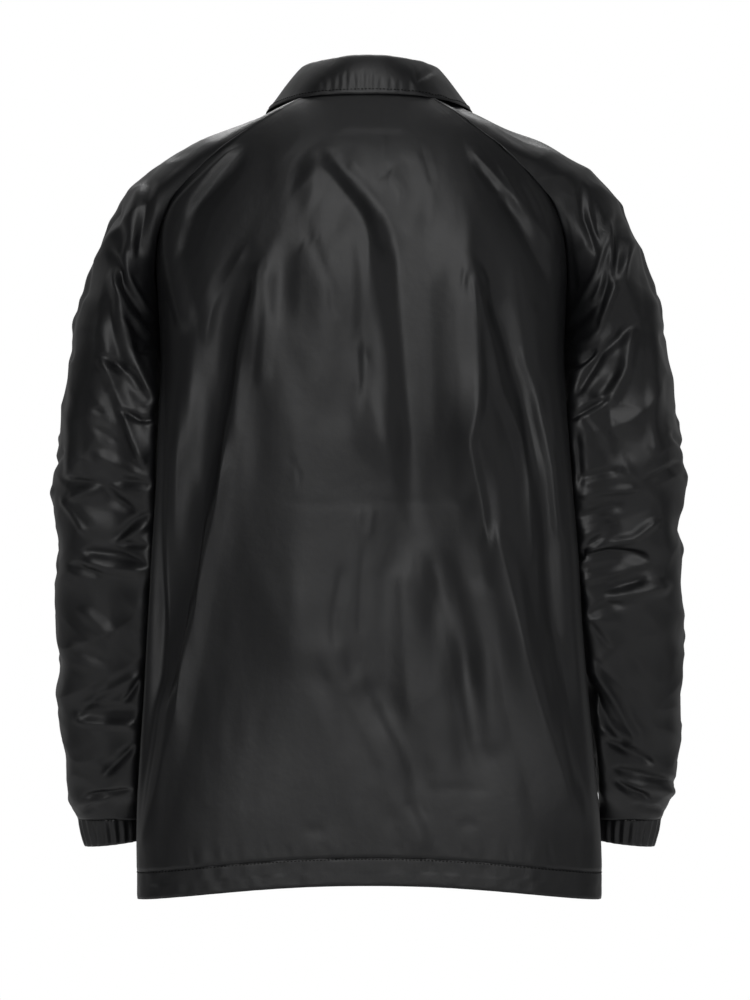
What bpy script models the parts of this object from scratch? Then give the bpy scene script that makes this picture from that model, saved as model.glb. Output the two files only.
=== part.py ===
"""A black windbreaker jacket with raglan sleeves, kept in its worn, hollow shape with no wearer.

Axes: +Z up, the front faces -Y, the wearer's left is +X. The origin is the middle of the neck opening.
Sizes are millimetres and are scaled to metres where a mesh is made. A drop is a distance below the origin.
Panels are worked out from rows: a row of 0 is the neck seam, 1 the armpit, 2 the hem or cuff seam.
"""

import math
from collections import namedtuple

import bpy
from mathutils import Vector

MM = 0.001
CLOTH = 1.6
SEAM_GAP = 0.3
SLANT_TRIM = 0.42
ARMPIT_DROP = 225.0
HEM_SEAM_DROP = 668.5
HEM_DEPTH = 23.0
HEM_CLOTH = 3.0
CUFF_SEAM_DROP = 648.0
CUFF_DEPTH = 26.0
CUFF_GATHERS = 22
CUFF_WAVE = 1.5
OVERLAP = 16.0
OVERLAP_LIFT = 2.6
ARMPIT_GAP = 0.9
SLEEVE_CLEAR = 3.0
SLEEVE_BLEND = 7.0
BODY_POWER = 5.6
SLEEVE_POWER = 2.7
SIDE_HEM_FALL = 17.0
FRONT_HEM_FALL = 21.0
COLLAR_CLOTH = 1.6
COLLAR_GAP_AT_FRONT = 0.93
SNAP_RADIUS = 6.4
SNAP_HEIGHT = 2.4
SNAP_DROPS = (92.0, 215.0, 340.0, 465.0, 590.0)

STATIONS = 7
BLACK_NYLON = (0.022, 0.023, 0.026, 1.0)
BLACK_METAL = (0.03, 0.03, 0.032, 1.0)

# The raglan yoke, from the neck (station 0) to the armpit (station 7). The ridge is the top of the shoulder
# and the outer side of the arm. Each seam has its place and how far the sleeve turns from the ridge to it.
Yoke = namedtuple(
    "Yoke",
    "station ridge_x ridge_z back_x back_z back_depth back_turn front_x front_z front_depth front_turn lean",
)
YOKE = [
    Yoke(0, 72, -4, 33.8, 10, 70, 62, 56.7, -31.5, 84, 38, 0),
    Yoke(1, 98, -14, 66, -9, 80, 66, 78, -42, 84, 50, 3),
    Yoke(2, 150, -35, 111, -38, 89, 76, 114, -68, 88, 68, 6),
    Yoke(3, 195, -58, 147, -71, 80, 88, 146, -98, 80, 86, 7),
    Yoke(4, 222, -82, 171, -98, 72, 102, 164, -121, 74, 103, 7),
    Yoke(5, 243, -123, 183, -140, 73, 127, 175, -153, 73, 128, 7),
    Yoke(6, 258, -173, 182, -184, 75, 151, 178, -188, 75, 152, 7),
    Yoke(7, 270, -225, 175, -225, 76, 180, 175, -225, 76, 180, 6.5),
]

# The centre lines of the back and front, and how each panel rounds from there to its seam.
Centre = namedtuple("Centre", "station back_y back_z front_y front_z power root back_swell front_swell")
CENTRES = [
    Centre(0, 70, 10, 84, -56, 2.0, 1.0, 0, 0),
    Centre(1, 82, -7, 91, -68, 2.2, 1.0, 0, 0),
    Centre(2, 101, -38, 103, -92, 2.4, 0.95, 0, 0),
    Centre(3, 114, -72, 113, -118, 2.6, 0.85, 0, 0),
    Centre(4, 120, -99, 119, -140, 2.7, 0.72, 0, 0),
    Centre(5, 126, -141, 125, -172, 2.9, 0.53, 1, 0),
    Centre(6, 129, -184, 129, -203, 3.1, 0.40, 4, 2),
    Centre(7, 130, -225, 131, -233, 3.4, 0.294, 9, 4),
]

# The body below the armpit. The arms press the sides in, so each panel swells out beyond its side seam.
Body = namedtuple("Body", "drop side_x side_y back_y front_y back_swell front_swell lean")
BODY = [
    Body(225, 174.1, 0, 130, 131, 9, 4, 6.5),
    Body(290, 170.5, -2, 130, 132, 15.5, 6, 6),
    Body(350, 173, -6, 128, 131, 16.5, 8, 4.5),
    Body(412, 177, -12, 126, 129, 17.5, 8, 4),
    Body(463, 181, -19, 126, 128, 16.5, 8, 4),
    Body(519, 186, -25, 127, 128, 15.5, 8, 3),
    Body(572, 191, -25, 129, 129, 15, 8, 2),
    Body(633, 197, -22, 132, 130, 12.5, 7, 1),
    Body(672, 199, -20, 133, 131, 11, 6, 0),
    Body(700, 199, -20, 134, 132, 11, 6, 0),
]

# The sleeve below the armpit, as level oval sections.
Sleeve = namedtuple("Sleeve", "drop inner_x outer_x centre_y half_depth lean")
SLEEVE = [
    Sleeve(225, 175, 270, 0, 76, 6.5),
    Sleeve(290, 175.5, 280, -2, 76, 6),
    Sleeve(350, 179, 286.5, -6, 73, 4.5),
    Sleeve(380, 181, 283, -9, 70, 4),
    Sleeve(405, 183, 284.5, -12, 68, 4),
    Sleeve(450, 187, 285.5, -18, 64, 3.5),
    Sleeve(500, 192, 286, -26, 60, 3),
    Sleeve(550, 198, 285.5, -35, 56, 2),
    Sleeve(590, 203, 283, -42, 53, 1),
    Sleeve(615, 205, 281, -46, 50, 0),
    Sleeve(632, 206, 277, -48, 45, 0),
    Sleeve(648, 205, 267, -50, 34, 0),
    Sleeve(674, 206, 261, -53, 30, 0),
]

# The collar round half the neck, from the centre back (0) over the seams (1 and 2) to the centre front (3).
Collar = namedtuple("Collar", "place fold_z fold_in edge_station edge_off")
COLLAR = [
    Collar(0.0, 33, 3.0, 0.80, 4.2),
    Collar(0.5, 32.6, 3.0, 0.80, 4.2),
    Collar(1.0, 31, 5.0, 0.82, 4.2),
    Collar(1.3, 28.5, 9.0, 0.84, 4.5),
    Collar(1.5, 26, 10.0, 0.86, 5.0),
    Collar(1.75, 18, 8.5, 0.98, 5.5),
    Collar(2.0, 7, 5.5, 1.30, 5.5),
    Collar(2.5, -11, 2.0, 2.05, 5.5),
    Collar(3.0, -24, 0.0, 2.85, 6.5),
]

# Large folds of the back, seen from behind: a ridge (+) or hollow (-) along a line, with its half width.
BackFold = namedtuple("BackFold", "x1 drop1 x2 drop2 width height")
BACK_FOLDS = [
    BackFold(95, 150, 128, 326, 13, 5.0),
    BackFold(128, 326, 172, 518, 13, 5.0),
    BackFold(172, 518, 194, 645, 10, 3.0),
    BackFold(122, 175, 150, 330, 15, -6.0),
    BackFold(150, 330, 176, 440, 11, -4.0),
    BackFold(42, 62, -4, 125, 13, -4.0),
    BackFold(-4, 125, -20, 330, 20, -6.0),
    BackFold(-24, 340, -58, 450, 18, -4.0),
    BackFold(62, 62, 40, 200, 22, 4.0),
    BackFold(-88, 160, -92, 300, 15, 5.0),
    BackFold(-92, 300, -138, 490, 15, 5.0),
    BackFold(-138, 490, -190, 640, 12, 4.0),
    BackFold(-106, 170, -136, 300, 14, -6.0),
    BackFold(-136, 300, -166, 500, 13, -6.0),
    BackFold(-48, 395, -78, 500, 13, -5.0),
    BackFold(-78, 500, -96, 590, 13, -4.0),
    BackFold(4, 520, -42, 615, 11, -3.5),
    BackFold(78, 230, 60, 450, 26, 3.0),
    BackFold(60, 450, 26, 620, 22, 3.0),
    BackFold(-118, 95, -160, 172, 11, -4.0),
    BackFold(126, 40, 172, 105, 10, 3.0),
]

# Large folds of a sleeve: round it (0 back seam, 0.5 ridge, 1 front seam) and by drop.
SleeveFold = namedtuple("SleeveFold", "round1 drop1 round2 drop2 width height")
LEFT_FOLDS = [
    SleeveFold(0.31, 140, 0.09, 208, 12, -3.0),
    SleeveFold(0.27, 160, 0.10, 240, 12, 2.5),
    SleeveFold(0.22, 265, 0.10, 285, 10, -4.0),
    SleeveFold(0.36, 352, 0.12, 380, 12, -5.0),
    SleeveFold(0.38, 410, 0.14, 418, 11, 4.0),
    SleeveFold(0.30, 540, 0.16, 505, 12, -3.0),
    SleeveFold(0.46, 358, 0.56, 358, 14, 4.5),
    SleeveFold(0.44, 500, 0.56, 495, 16, -3.0),
    SleeveFold(0.42, 586, 0.56, 584, 14, -5.0),
    SleeveFold(0.72, 150, 0.92, 220, 12, -3.0),
    SleeveFold(0.66, 372, 0.88, 392, 12, -5.0),
    SleeveFold(0.68, 430, 0.86, 440, 12, 4.0),
]
RIGHT_FOLDS = [
    SleeveFold(0.31, 134, 0.08, 214, 11, 4.0),
    SleeveFold(0.26, 190, 0.08, 225, 10, -5.0),
    SleeveFold(0.32, 205, 0.12, 270, 11, -5.0),
    SleeveFold(0.38, 345, 0.14, 375, 12, -4.0),
    SleeveFold(0.34, 392, 0.22, 402, 10, 4.0),
    SleeveFold(0.32, 415, 0.14, 424, 11, -5.0),
    SleeveFold(0.28, 590, 0.10, 530, 12, -4.0),
    SleeveFold(0.42, 382, 0.56, 386, 12, -5.0),
    SleeveFold(0.70, 160, 0.90, 228, 11, -5.0),
    SleeveFold(0.64, 362, 0.88, 384, 12, -5.0),
    SleeveFold(0.66, 420, 0.86, 446, 12, 4.0),
]

# Large folds of a front, by distance from the centre towards the side.
FRONT_FOLDS = [
    BackFold(118, 150, 100, 330, 18, 4.0),
    BackFold(100, 330, 76, 560, 18, 3.0),
    BackFold(142, 190, 138, 420, 14, -4.0),
    BackFold(60, 240, 46, 520, 16, -3.0),
]


def smooth(rows, column, at):
    """The value of one column on a smooth curve through a table's rows, by the table's first column."""
    last = len(rows) - 2
    span = 0
    while span < last and at > rows[span + 1][0]:
        span += 1

    def slope(index):
        before = rows[max(index - 1, 0)]
        after = rows[min(index + 1, len(rows) - 1)]
        return (getattr(after, column) - getattr(before, column)) / (after[0] - before[0])

    low, high = rows[span], rows[span + 1]
    length = high[0] - low[0]
    s = min(max((at - low[0]) / length, 0.0), 1.0)
    start = getattr(low, column)
    end = getattr(high, column)
    rise = s * s * (3 - 2 * s)
    lead = length * (s * (1 - s) ** 2 * slope(span) - s * s * (1 - s) * slope(span + 1))
    return start + (end - start) * rise + lead


def ease(low, high, value):
    """Rises smoothly from 0 at low to 1 at high."""
    s = min(max((value - low) / (high - low), 0.0), 1.0)
    return s * s * (3 - 2 * s)


def body_drop(row):
    """The drop of a body row below the armpit, on through the hem casing (row 3 is its lower edge)."""
    if row <= 2:
        return ARMPIT_DROP + (row - 1) * (HEM_SEAM_DROP - ARMPIT_DROP)
    return HEM_SEAM_DROP + (row - 2) * HEM_DEPTH


def panel_form(front, side, row):
    """One row of a body panel: centre y and z, seam x, y and z, rounding and swell."""
    name = "front" if front else "back"
    if row <= 1:
        station = row * STATIONS
        seam_x = smooth(YOKE, name + "_x", station) + side * smooth(YOKE, "lean", station)
        turn = math.radians(smooth(YOKE, name + "_turn", station))
        seam_y = smooth(YOKE, name + "_depth", station) * math.sin(turn)
        seam_x -= ARMPIT_GAP * ease(3.0, 7.0, station)
        seam_z = smooth(YOKE, name + "_z", station)
        centre_y = smooth(CENTRES, name + "_y", station)
        centre_z = smooth(CENTRES, name + "_z", station)
        power = smooth(CENTRES, "power", station)
        root = smooth(CENTRES, "root", station)
        swell = smooth(CENTRES, name + "_swell", station)
    else:
        drop = body_drop(row)
        seam_x = smooth(BODY, "side_x", drop) + side * smooth(BODY, "lean", drop)
        seam_y = smooth(BODY, "side_y", drop) * (-1 if front else 1)
        centre_y = smooth(BODY, name + "_y", drop)
        power = CENTRES[-1].power + (BODY_POWER - CENTRES[-1].power) * ease(1.0, 1.25, row)
        root = 1 / power
        swell = smooth(BODY, name + "_swell", drop)
        fall = min(row - 1, 1.0) ** 2
        seam_z = -drop - SIDE_HEM_FALL * fall
        centre_z = -drop
        if front:
            centre_z = -drop - 8 - (FRONT_HEM_FALL - 8) * fall
    return centre_y, centre_z, seam_x, seam_y, seam_z, power, root, swell


def share_of(row, across):
    """How much of the way to the seam a place is: even at the neck, closer at the sides below the arms."""
    turned = math.sin(across * math.pi / 2) ** (2 / 2.8)
    return across + (turned - across) * ease(0.3, 1.0, row)


def sleeve_power(drop):
    """How square a sleeve's section is: an oval at the armpit, squarer below it."""
    return 2 + (SLEEVE_POWER - 2) * ease(ARMPIT_DROP, ARMPIT_DROP + 90, drop)


def sleeve_limit(front, side, row, depth):
    """How far out a panel may reach at a depth before it meets the inner side of the sleeve there."""
    name = "front" if front else "back"
    if row <= 1:
        station = row * STATIONS
        ridge_x = smooth(YOKE, "ridge_x", station)
        seam_x = smooth(YOKE, name + "_x", station) + side * smooth(YOKE, "lean", station)
        full = math.radians(smooth(YOKE, name + "_turn", station))
        level = depth / smooth(YOKE, name + "_depth", station)
        if not 0 <= level < 1 or math.pi - math.asin(level) >= full:
            return None
        bend = (1 + math.sqrt(1 - level * level)) / (1 - math.cos(full))
        return ridge_x + (seam_x - ridge_x) * bend
    drop = body_drop(row)
    inner = smooth(SLEEVE, "inner_x", drop) + side * smooth(SLEEVE, "lean", drop)
    outer = smooth(SLEEVE, "outer_x", drop)
    centre_y = smooth(SLEEVE, "centre_y", drop) * (-1 if front else 1)
    level = (depth - centre_y) / smooth(SLEEVE, "half_depth", drop)
    if abs(level) >= 1:
        return None
    power = sleeve_power(drop)
    return (inner + outer) / 2 - (outer - inner) / 2 * (1 - abs(level) ** power) ** (1 / power)


def panel_base(front, side, row, across):
    """A point on the plain form of a back or front: across runs from 0 at the centre to 1 at the seam."""
    centre_y, centre_z, seam_x, seam_y, seam_z, power, root, swell = panel_form(front, side, row)
    share = share_of(row, abs(across))
    depth = seam_y + (centre_y - seam_y) * max(1 - share**power, 0.0) ** root
    x = seam_x * share + swell * math.sin(math.pi * abs(across) ** 2.5)
    z = centre_z + (seam_z - centre_z) * share**2
    limit = sleeve_limit(front, side, row, depth)
    if limit is not None:
        room = limit - SLEEVE_CLEAR * ease(0.0, 22.0, abs(depth - seam_y) + 60 * max(row - 1, 0.0))
        near = max(SLEEVE_BLEND - abs(x - room), 0.0)
        x = min(x, room) - near * near / (4 * SLEEVE_BLEND) * ease(0.0, 22.0, abs(depth - seam_y))
    return Vector((side * x, -depth if front else depth, z))


def sleeve_base(side, row, around):
    """A point on a sleeve's plain form: around is 0 at the back seam, 0.5 on the ridge, 1 at the front."""
    name = "back" if around < 0.5 else "front"
    facing = 1 if around < 0.5 else -1
    part = abs(1 - 2 * around)
    if row <= 1:
        station = row * STATIONS
        ridge_x = smooth(YOKE, "ridge_x", station)
        ridge_z = smooth(YOKE, "ridge_z", station)
        seam_x = smooth(YOKE, name + "_x", station) + side * smooth(YOKE, "lean", station)
        seam_z = smooth(YOKE, name + "_z", station)
        full = math.radians(smooth(YOKE, name + "_turn", station))
        bend = (1 - math.cos(part * full)) / (1 - math.cos(full))
        y = facing * smooth(YOKE, name + "_depth", station) * math.sin(part * full)
        return Vector((side * (ridge_x + (seam_x - ridge_x) * bend), y, ridge_z + (seam_z - ridge_z) * bend))
    drop = ARMPIT_DROP + (row - 1) * (CUFF_SEAM_DROP - ARMPIT_DROP)
    inner = smooth(SLEEVE, "inner_x", drop) + side * smooth(SLEEVE, "lean", drop)
    outer = smooth(SLEEVE, "outer_x", drop)
    turn = part * math.pi
    squaring = 2 / sleeve_power(drop)
    over = math.copysign(abs(math.cos(turn)) ** squaring, math.cos(turn))
    deep = max(math.sin(turn), 0.0) ** squaring
    x = (inner + outer) / 2 + (outer - inner) / 2 * over
    y = smooth(SLEEVE, "centre_y", drop) + facing * smooth(SLEEVE, "half_depth", drop) * deep
    return Vector((side * x, y, -drop))


def line_fold(u, v, u1, v1, u2, v2, width, height):
    """The height of one fold at a place, tapered to nothing past both ends of its line."""
    du, dv = u2 - u1, v2 - v1
    length = math.hypot(du, dv)
    along = ((u - u1) * du + (v - v1) * dv) / length
    off = ((u - u1) * dv - (v - v1) * du) / length
    past = max(-along, along - length, 0.0)
    return height * math.exp(-((off / width) ** 2) - (past / (1.5 * width)) ** 2)


def outward(place, row, across, step_across):
    """The outward normal of a form at a place, from points close round it."""
    step = 0.004
    down = place(row + step, across) - place(row - step, across)
    over = place(row, across + step_across) - place(row, across - step_across)
    return over.cross(down).normalized()


def back_point(row, across):
    """A point on the outside of the back, from -1 at the right seam to 1 at the left seam."""

    def plain(r, a):
        return panel_base(False, 1 if a >= 0 else -1, max(r, 0.0), min(abs(a), 1.0))

    inset = min(max(across, -0.985), 0.985)
    point = plain(row, across)
    height = sum(line_fold(point.x, -point.z, *fold) for fold in BACK_FOLDS)
    quiet = 1 - ease(0.86, 1.0, abs(across))
    quiet *= ease(0.06, 0.3, row) * (1 - 0.7 * ease(1.9, 2.05, row))
    return point + outward(plain, max(row, 0.01), inset, 0.01) * height * quiet


def front_point(side, row, across, lift):
    """A point on the outside of a front; across runs from below 0, past the centre, to 1 at the seam."""

    def plain(r, a):
        point = panel_base(True, side, max(r, 0.0), min(abs(a), 1.0))
        return Vector((point.x if a >= 0 else -point.x, point.y, point.z))

    inset = min(across, 0.985)
    point = plain(row, across)
    height = sum(line_fold(side * point.x, -point.z, *fold) for fold in FRONT_FOLDS)
    quiet = (1 - ease(0.86, 1.0, across)) * ease(0.06, 0.3, row) * (1 - 0.7 * ease(1.9, 2.05, row))
    height = height * quiet + lift * (1 - ease(20, 34, side * point.x))
    return point + outward(plain, max(row, 0.01), inset, -0.01 * side) * height


def sleeve_point(side, row, around):
    """A point on the outside of a sleeve."""

    def plain(r, a):
        return sleeve_base(side, max(r, 0.0), min(max(a, 0.0), 1.0))

    folds = LEFT_FOLDS if side > 0 else RIGHT_FOLDS
    point = plain(row, around)
    height = 0.0
    for fold in folds:
        height += line_fold(
            around * 380, -point.z, fold.round1 * 380, fold.drop1, fold.round2 * 380, fold.drop2,
            fold.width, fold.height,
        )
    quiet = ease(0.02, 0.12, min(around, 1 - around)) * ease(0.1, 0.4, row) * (1 - ease(1.88, 1.98, row))
    inset = min(max(around, 0.01), 0.99)
    return point + outward(plain, max(row, 0.01), inset, 0.005 * side) * height * quiet


def yoke_point(side, place, station):
    """A point on the plain yoke round half the neck: 0 centre back, 1 and 2 the seams, 3 centre front."""
    row = station / STATIONS
    if place <= 1:
        return panel_base(False, side, row, place)
    if place <= 2:
        return sleeve_base(side, row, place - 1)
    return panel_base(True, side, row, 3 - place)


def material(name, colour, roughness, metallic):
    """A plain surface for one piece."""
    made = bpy.data.materials.new(name)
    made.use_nodes = True
    shader = made.node_tree.nodes["Principled BSDF"]
    shader.inputs["Base Color"].default_value = colour
    shader.inputs["Roughness"].default_value = roughness
    shader.inputs["Metallic"].default_value = metallic
    return made


def piece(name, points, faces, colour=BLACK_NYLON, roughness=0.45, metallic=0.0):
    """A named object from points in millimetres and faces that turn outwards."""
    mesh = bpy.data.meshes.new(name)
    mesh.from_pydata([point * MM for point in points], [], faces)
    made = bpy.data.objects.new(name, mesh)
    made.data.materials.append(material(name + "_surface", colour, roughness, metallic))
    bpy.context.collection.objects.link(made)
    return made


def cloth(name, grid, thickness, flip, joined_from=None):
    """A cloth panel from rows of points on its outside, given a wall towards the inside."""
    points, index = [], []
    for at, line in enumerate(grid):
        closed = joined_from is not None and at >= joined_from
        used = line[:-1] if closed else line
        first = len(points)
        points.extend(used)
        index.append([first + i for i in range(len(used))] + ([first] if closed else []))
    faces = []
    for upper, lower in zip(index, index[1:]):
        for i in range(len(grid[0]) - 1):
            corners = [upper[i], upper[i + 1], lower[i + 1], lower[i]]
            corners = [c for at, c in enumerate(corners) if c != corners[at - 1]]
            faces.append(corners[::-1] if flip else corners)
    made = piece(name, points, faces)
    wall = made.modifiers.new("wall", "SOLIDIFY")
    wall.thickness = thickness * MM
    wall.offset = -1.0
    wall.use_even_offset = True
    wall.use_rim = True
    return made


def moved(point, towards, distance):
    """A point moved a set distance towards another."""
    step = towards - point
    return point + step.normalized() * distance if step.length > 1e-6 else point


def trimmed(line, row):
    """A row of points with both ends drawn back from the seam, by more where the seam runs slantwise."""
    half = SEAM_GAP / 2 + SLANT_TRIM * (1 - ease(0.3, 0.6, row))
    return [moved(line[0], line[1], half)] + line[1:-1] + [moved(line[-1], line[-2], half)]


def spread(low, high, count):
    return [low + (high - low) * i / count for i in range(count + 1)]


for old in list(bpy.data.objects):
    bpy.data.objects.remove(old, do_unlink=True)

YOKE_ROWS = spread(0.0, 1.0, 9)
BODY_ROWS = YOKE_ROWS + spread(1.0, 2.0, 16)[1:]
HEM_ROWS = [2.0 + 2 * SEAM_GAP / HEM_DEPTH, 2.5, 3.0]
BACK_COLUMNS = spread(-1.0, 1.0, 28)


def back_line(row):
    """One row of the back, from seam to seam."""
    return trimmed([back_point(row, a) for a in BACK_COLUMNS], row)


cloth("back", [back_line(r) for r in BODY_ROWS], CLOTH, False)
cloth("hem_back", [back_line(r) for r in HEM_ROWS], HEM_CLOTH, False)


def front_line(side, row):
    """One row of a front, from the overlap past the centre to the seam."""
    lift = 0.0 if side < 0 else (HEM_CLOTH + 0.8 if row > 2 else OVERLAP_LIFT)
    seam_x = abs(panel_base(True, side, row, 1.0).x)

    def column_at(x):
        low, high = 0.0, 1.0
        for halving in range(30):
            middle = (low + high) / 2
            if share_of(row, middle) * seam_x < x:
                low = middle
            else:
                high = middle
        return low

    columns = [-column_at(OVERLAP), 0.0, column_at(OVERLAP / 2)]
    columns += spread(column_at(OVERLAP + 4), 1.0, 10)
    return trimmed([front_point(side, row, a, lift) for a in columns], row)


for side, name in ((1, "left"), (-1, "right")):
    cloth("front_" + name, [front_line(side, r) for r in BODY_ROWS], CLOTH, side > 0)
    cloth("hem_front_" + name, [front_line(side, r) for r in HEM_ROWS], HEM_CLOTH, side > 0)

SLEEVE_COLUMNS = spread(0.0, 1.0, 22)
SLEEVE_ROWS = YOKE_ROWS + spread(1.0, 2.0, 24)[1:]
for side, name in ((1, "left"), (-1, "right")):
    grid = []
    for row in SLEEVE_ROWS:
        line = [sleeve_point(side, row, a) for a in SLEEVE_COLUMNS]
        grid.append(trimmed(line, row) if row < 1 else line)
    cloth("sleeve_" + name, grid, CLOTH, side < 0, joined_from=len(YOKE_ROWS) - 1)


def cuff_ring(side, drop, wave, inward):
    """One level ring of a cuff, with its gathers raised in and out of the oval."""
    inner = smooth(SLEEVE, "inner_x", drop)
    outer = smooth(SLEEVE, "outer_x", drop)
    count = CUFF_GATHERS * 4
    ring = []
    for i in range(count):
        turn = 2 * math.pi * i / count
        swell = wave * math.cos(CUFF_GATHERS * turn) - inward
        x = (inner + outer) / 2 + ((outer - inner) / 2 + swell) * math.cos(turn)
        y = smooth(SLEEVE, "centre_y", drop) + (smooth(SLEEVE, "half_depth", drop) + swell) * math.sin(turn)
        rise = 3.0 * (1 - math.cos(turn)) * ease(CUFF_SEAM_DROP, CUFF_SEAM_DROP + CUFF_DEPTH, drop)
        ring.append(Vector((side * x, y, rise - drop)))
    return ring


for side, name in ((1, "left"), (-1, "right")):
    top = CUFF_SEAM_DROP + 2 * SEAM_GAP
    foot = CUFF_SEAM_DROP + CUFF_DEPTH
    middle = (top + foot) / 2
    inside = CUFF_WAVE + CLOTH
    rings = [
        cuff_ring(side, top, 0.4 * CUFF_WAVE, 0.6),
        cuff_ring(side, middle, CUFF_WAVE, -0.6),
        cuff_ring(side, foot, 0.7 * CUFF_WAVE, 0.4),
        cuff_ring(side, foot, 0.0, inside),
        cuff_ring(side, top, 0.0, inside),
    ]
    count = len(rings[0])
    faces = []
    for k in range(len(rings)):
        after = (k + 1) % len(rings)
        for i in range(count):
            j = (i + 1) % count
            corners = [k * count + i, after * count + i, after * count + j, k * count + j]
            faces.append(corners if side > 0 else corners[::-1])
    piece("cuff_" + name, [point for ring in rings for point in ring], faces)


def collar_places(count):
    """Places all round the collar from the right front to the left front, as signed half-neck places."""
    return spread(-3 * COLLAR_GAP_AT_FRONT, 3 * COLLAR_GAP_AT_FRONT, count)


def collar_points(place):
    """The neck seam, the top of the fold and the lower edge of the fall at one place."""
    side = 1 if place >= 0 else -1
    at = abs(place)
    seam = yoke_point(side, at, 0.0)
    away = Vector((seam.x, seam.y, 0.0)).normalized()
    fold = seam - away * smooth(COLLAR, "fold_in", at)
    fold.z = smooth(COLLAR, "fold_z", at)
    station = smooth(COLLAR, "edge_station", at)
    edge = yoke_point(side, at, station)
    ahead = yoke_point(side, min(at + 0.02, 3.0), station)
    round_neck = ahead - yoke_point(side, max(at - 0.02, 0.0), station)
    down = yoke_point(side, at, station + 0.05) - yoke_point(side, at, station - 0.05)
    normal = round_neck.cross(down).normalized() * side
    normal = normal if normal.dot(away + Vector((0, 0, 1))) > 0 else -normal
    return seam, fold, edge + normal * smooth(COLLAR, "edge_off", at), away


def stand_column(place):
    """The outside of the stand, from its fold edge down to the neck seam."""
    seam, fold, edge, away = collar_points(place)
    foot = seam - away * 0.4 + Vector((0, 0, 2 * SEAM_GAP))
    top = fold - Vector((0, 0, 2.4))
    return [top.lerp(foot, s) for s in spread(0.0, 1.0, 3)]


def fall_column(place):
    """The outside of the fall, from inside the fold, over it and down to the lower edge."""
    seam, fold, edge, away = collar_points(place)
    lip = fold - away * (COLLAR_CLOTH + 3.2) + Vector((0, 0, -1.8))
    crest_in = fold - away * 2.2 + Vector((0, 0, 1.2))
    crest = fold + away * 1.4 + Vector((0, 0, 1.2))
    shoulder = fold + away * 4.2 + Vector((0, 0, -1.8))
    line = [lip, crest_in, crest, shoulder]
    for s in (0.25, 0.5, 0.75, 1.0):
        line.append(shoulder.lerp(edge, s) + away * 1.6 * math.sin(math.pi * s))
    return line


def columns_to_rows(columns):
    return [list(line) for line in zip(*columns)]


cloth("collar_stand", columns_to_rows([stand_column(p) for p in collar_places(36)]), COLLAR_CLOTH, False)
cloth("collar_fall", columns_to_rows([fall_column(p) for p in collar_places(36)]), COLLAR_CLOTH, False)


def snap(name, drop):
    """A domed press-stud cap on the middle of the left front."""
    row = 1 + (drop + 8 - ARMPIT_DROP) / (HEM_SEAM_DROP - ARMPIT_DROP)
    if row < 1:
        row = 0.0
        while -front_point(1, row, 0.0, OVERLAP_LIFT).z < drop:
            row += 0.01
    seat = front_point(1, row, 0.0, OVERLAP_LIFT)
    down = (front_point(1, row + 0.01, 0.0, OVERLAP_LIFT) - seat).normalized()
    out = Vector((1, 0, 0)).cross(down).normalized()
    out = out if out.y < 0 else -out
    across = down.cross(out)
    base = seat + out * 0.45
    points, rings = [], ((1.0, 0.0), (1.0, 0.45), (0.78, 0.85), (0.4, 1.0))
    sides = 14
    for radius, height in rings:
        for i in range(sides):
            turn = 2 * math.pi * i / sides
            reach = across * math.cos(turn) + down * math.sin(turn)
            points.append(base + reach * SNAP_RADIUS * radius + out * SNAP_HEIGHT * height)
    faces = [list(reversed(range(sides)))]
    for k in range(len(rings) - 1):
        for i in range(sides):
            j = (i + 1) % sides
            faces.append([k * sides + i, k * sides + j, (k + 1) * sides + j, (k + 1) * sides + i])
    faces.append([(len(rings) - 1) * sides + i for i in range(sides)])
    piece(name, points, faces, BLACK_METAL, 0.35, 0.6)


for number, drop in enumerate(SNAP_DROPS, 1):
    snap("snap_%d" % number, drop)
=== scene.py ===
"""The looks of a black satin nylon windbreaker with raglan sleeves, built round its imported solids.

Each panel of cloth is a thin shell on the outside of its solid, with the folds and creases of a worn
jacket. Metres, +Z up, the front faces -Y. Fold tables are in pixels of the photo, which shows the back.
"""

import math
from collections import namedtuple

import bmesh
import bpy
import numpy as np
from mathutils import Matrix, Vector, kdtree, noise
from mathutils.bvhtree import BVHTree


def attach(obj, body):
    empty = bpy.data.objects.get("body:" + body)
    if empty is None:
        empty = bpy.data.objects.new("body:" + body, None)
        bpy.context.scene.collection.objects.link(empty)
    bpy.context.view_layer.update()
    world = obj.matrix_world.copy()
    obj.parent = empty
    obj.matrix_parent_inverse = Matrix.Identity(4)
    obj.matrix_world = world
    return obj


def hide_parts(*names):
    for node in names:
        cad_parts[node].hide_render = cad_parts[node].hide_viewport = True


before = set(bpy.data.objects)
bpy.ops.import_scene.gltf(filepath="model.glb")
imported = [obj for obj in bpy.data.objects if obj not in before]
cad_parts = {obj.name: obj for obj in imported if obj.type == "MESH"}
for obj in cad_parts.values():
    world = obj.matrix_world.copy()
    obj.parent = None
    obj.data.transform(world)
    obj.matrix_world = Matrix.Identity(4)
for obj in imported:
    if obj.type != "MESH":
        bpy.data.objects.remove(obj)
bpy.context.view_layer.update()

# The view of the photo: a long lens behind the back, level with the middle of the jacket. The photo shows
# the origin of the frame, the middle of the neck opening, at NECK_PIXEL.
PHOTO_WIDTH = 750
PHOTO_HEIGHT = 1000
NECK_PIXEL = (369.5, 101.0)
PIXEL = 0.0009
CAMERA_DISTANCE = 3.4
SENSOR = 36.0

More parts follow.
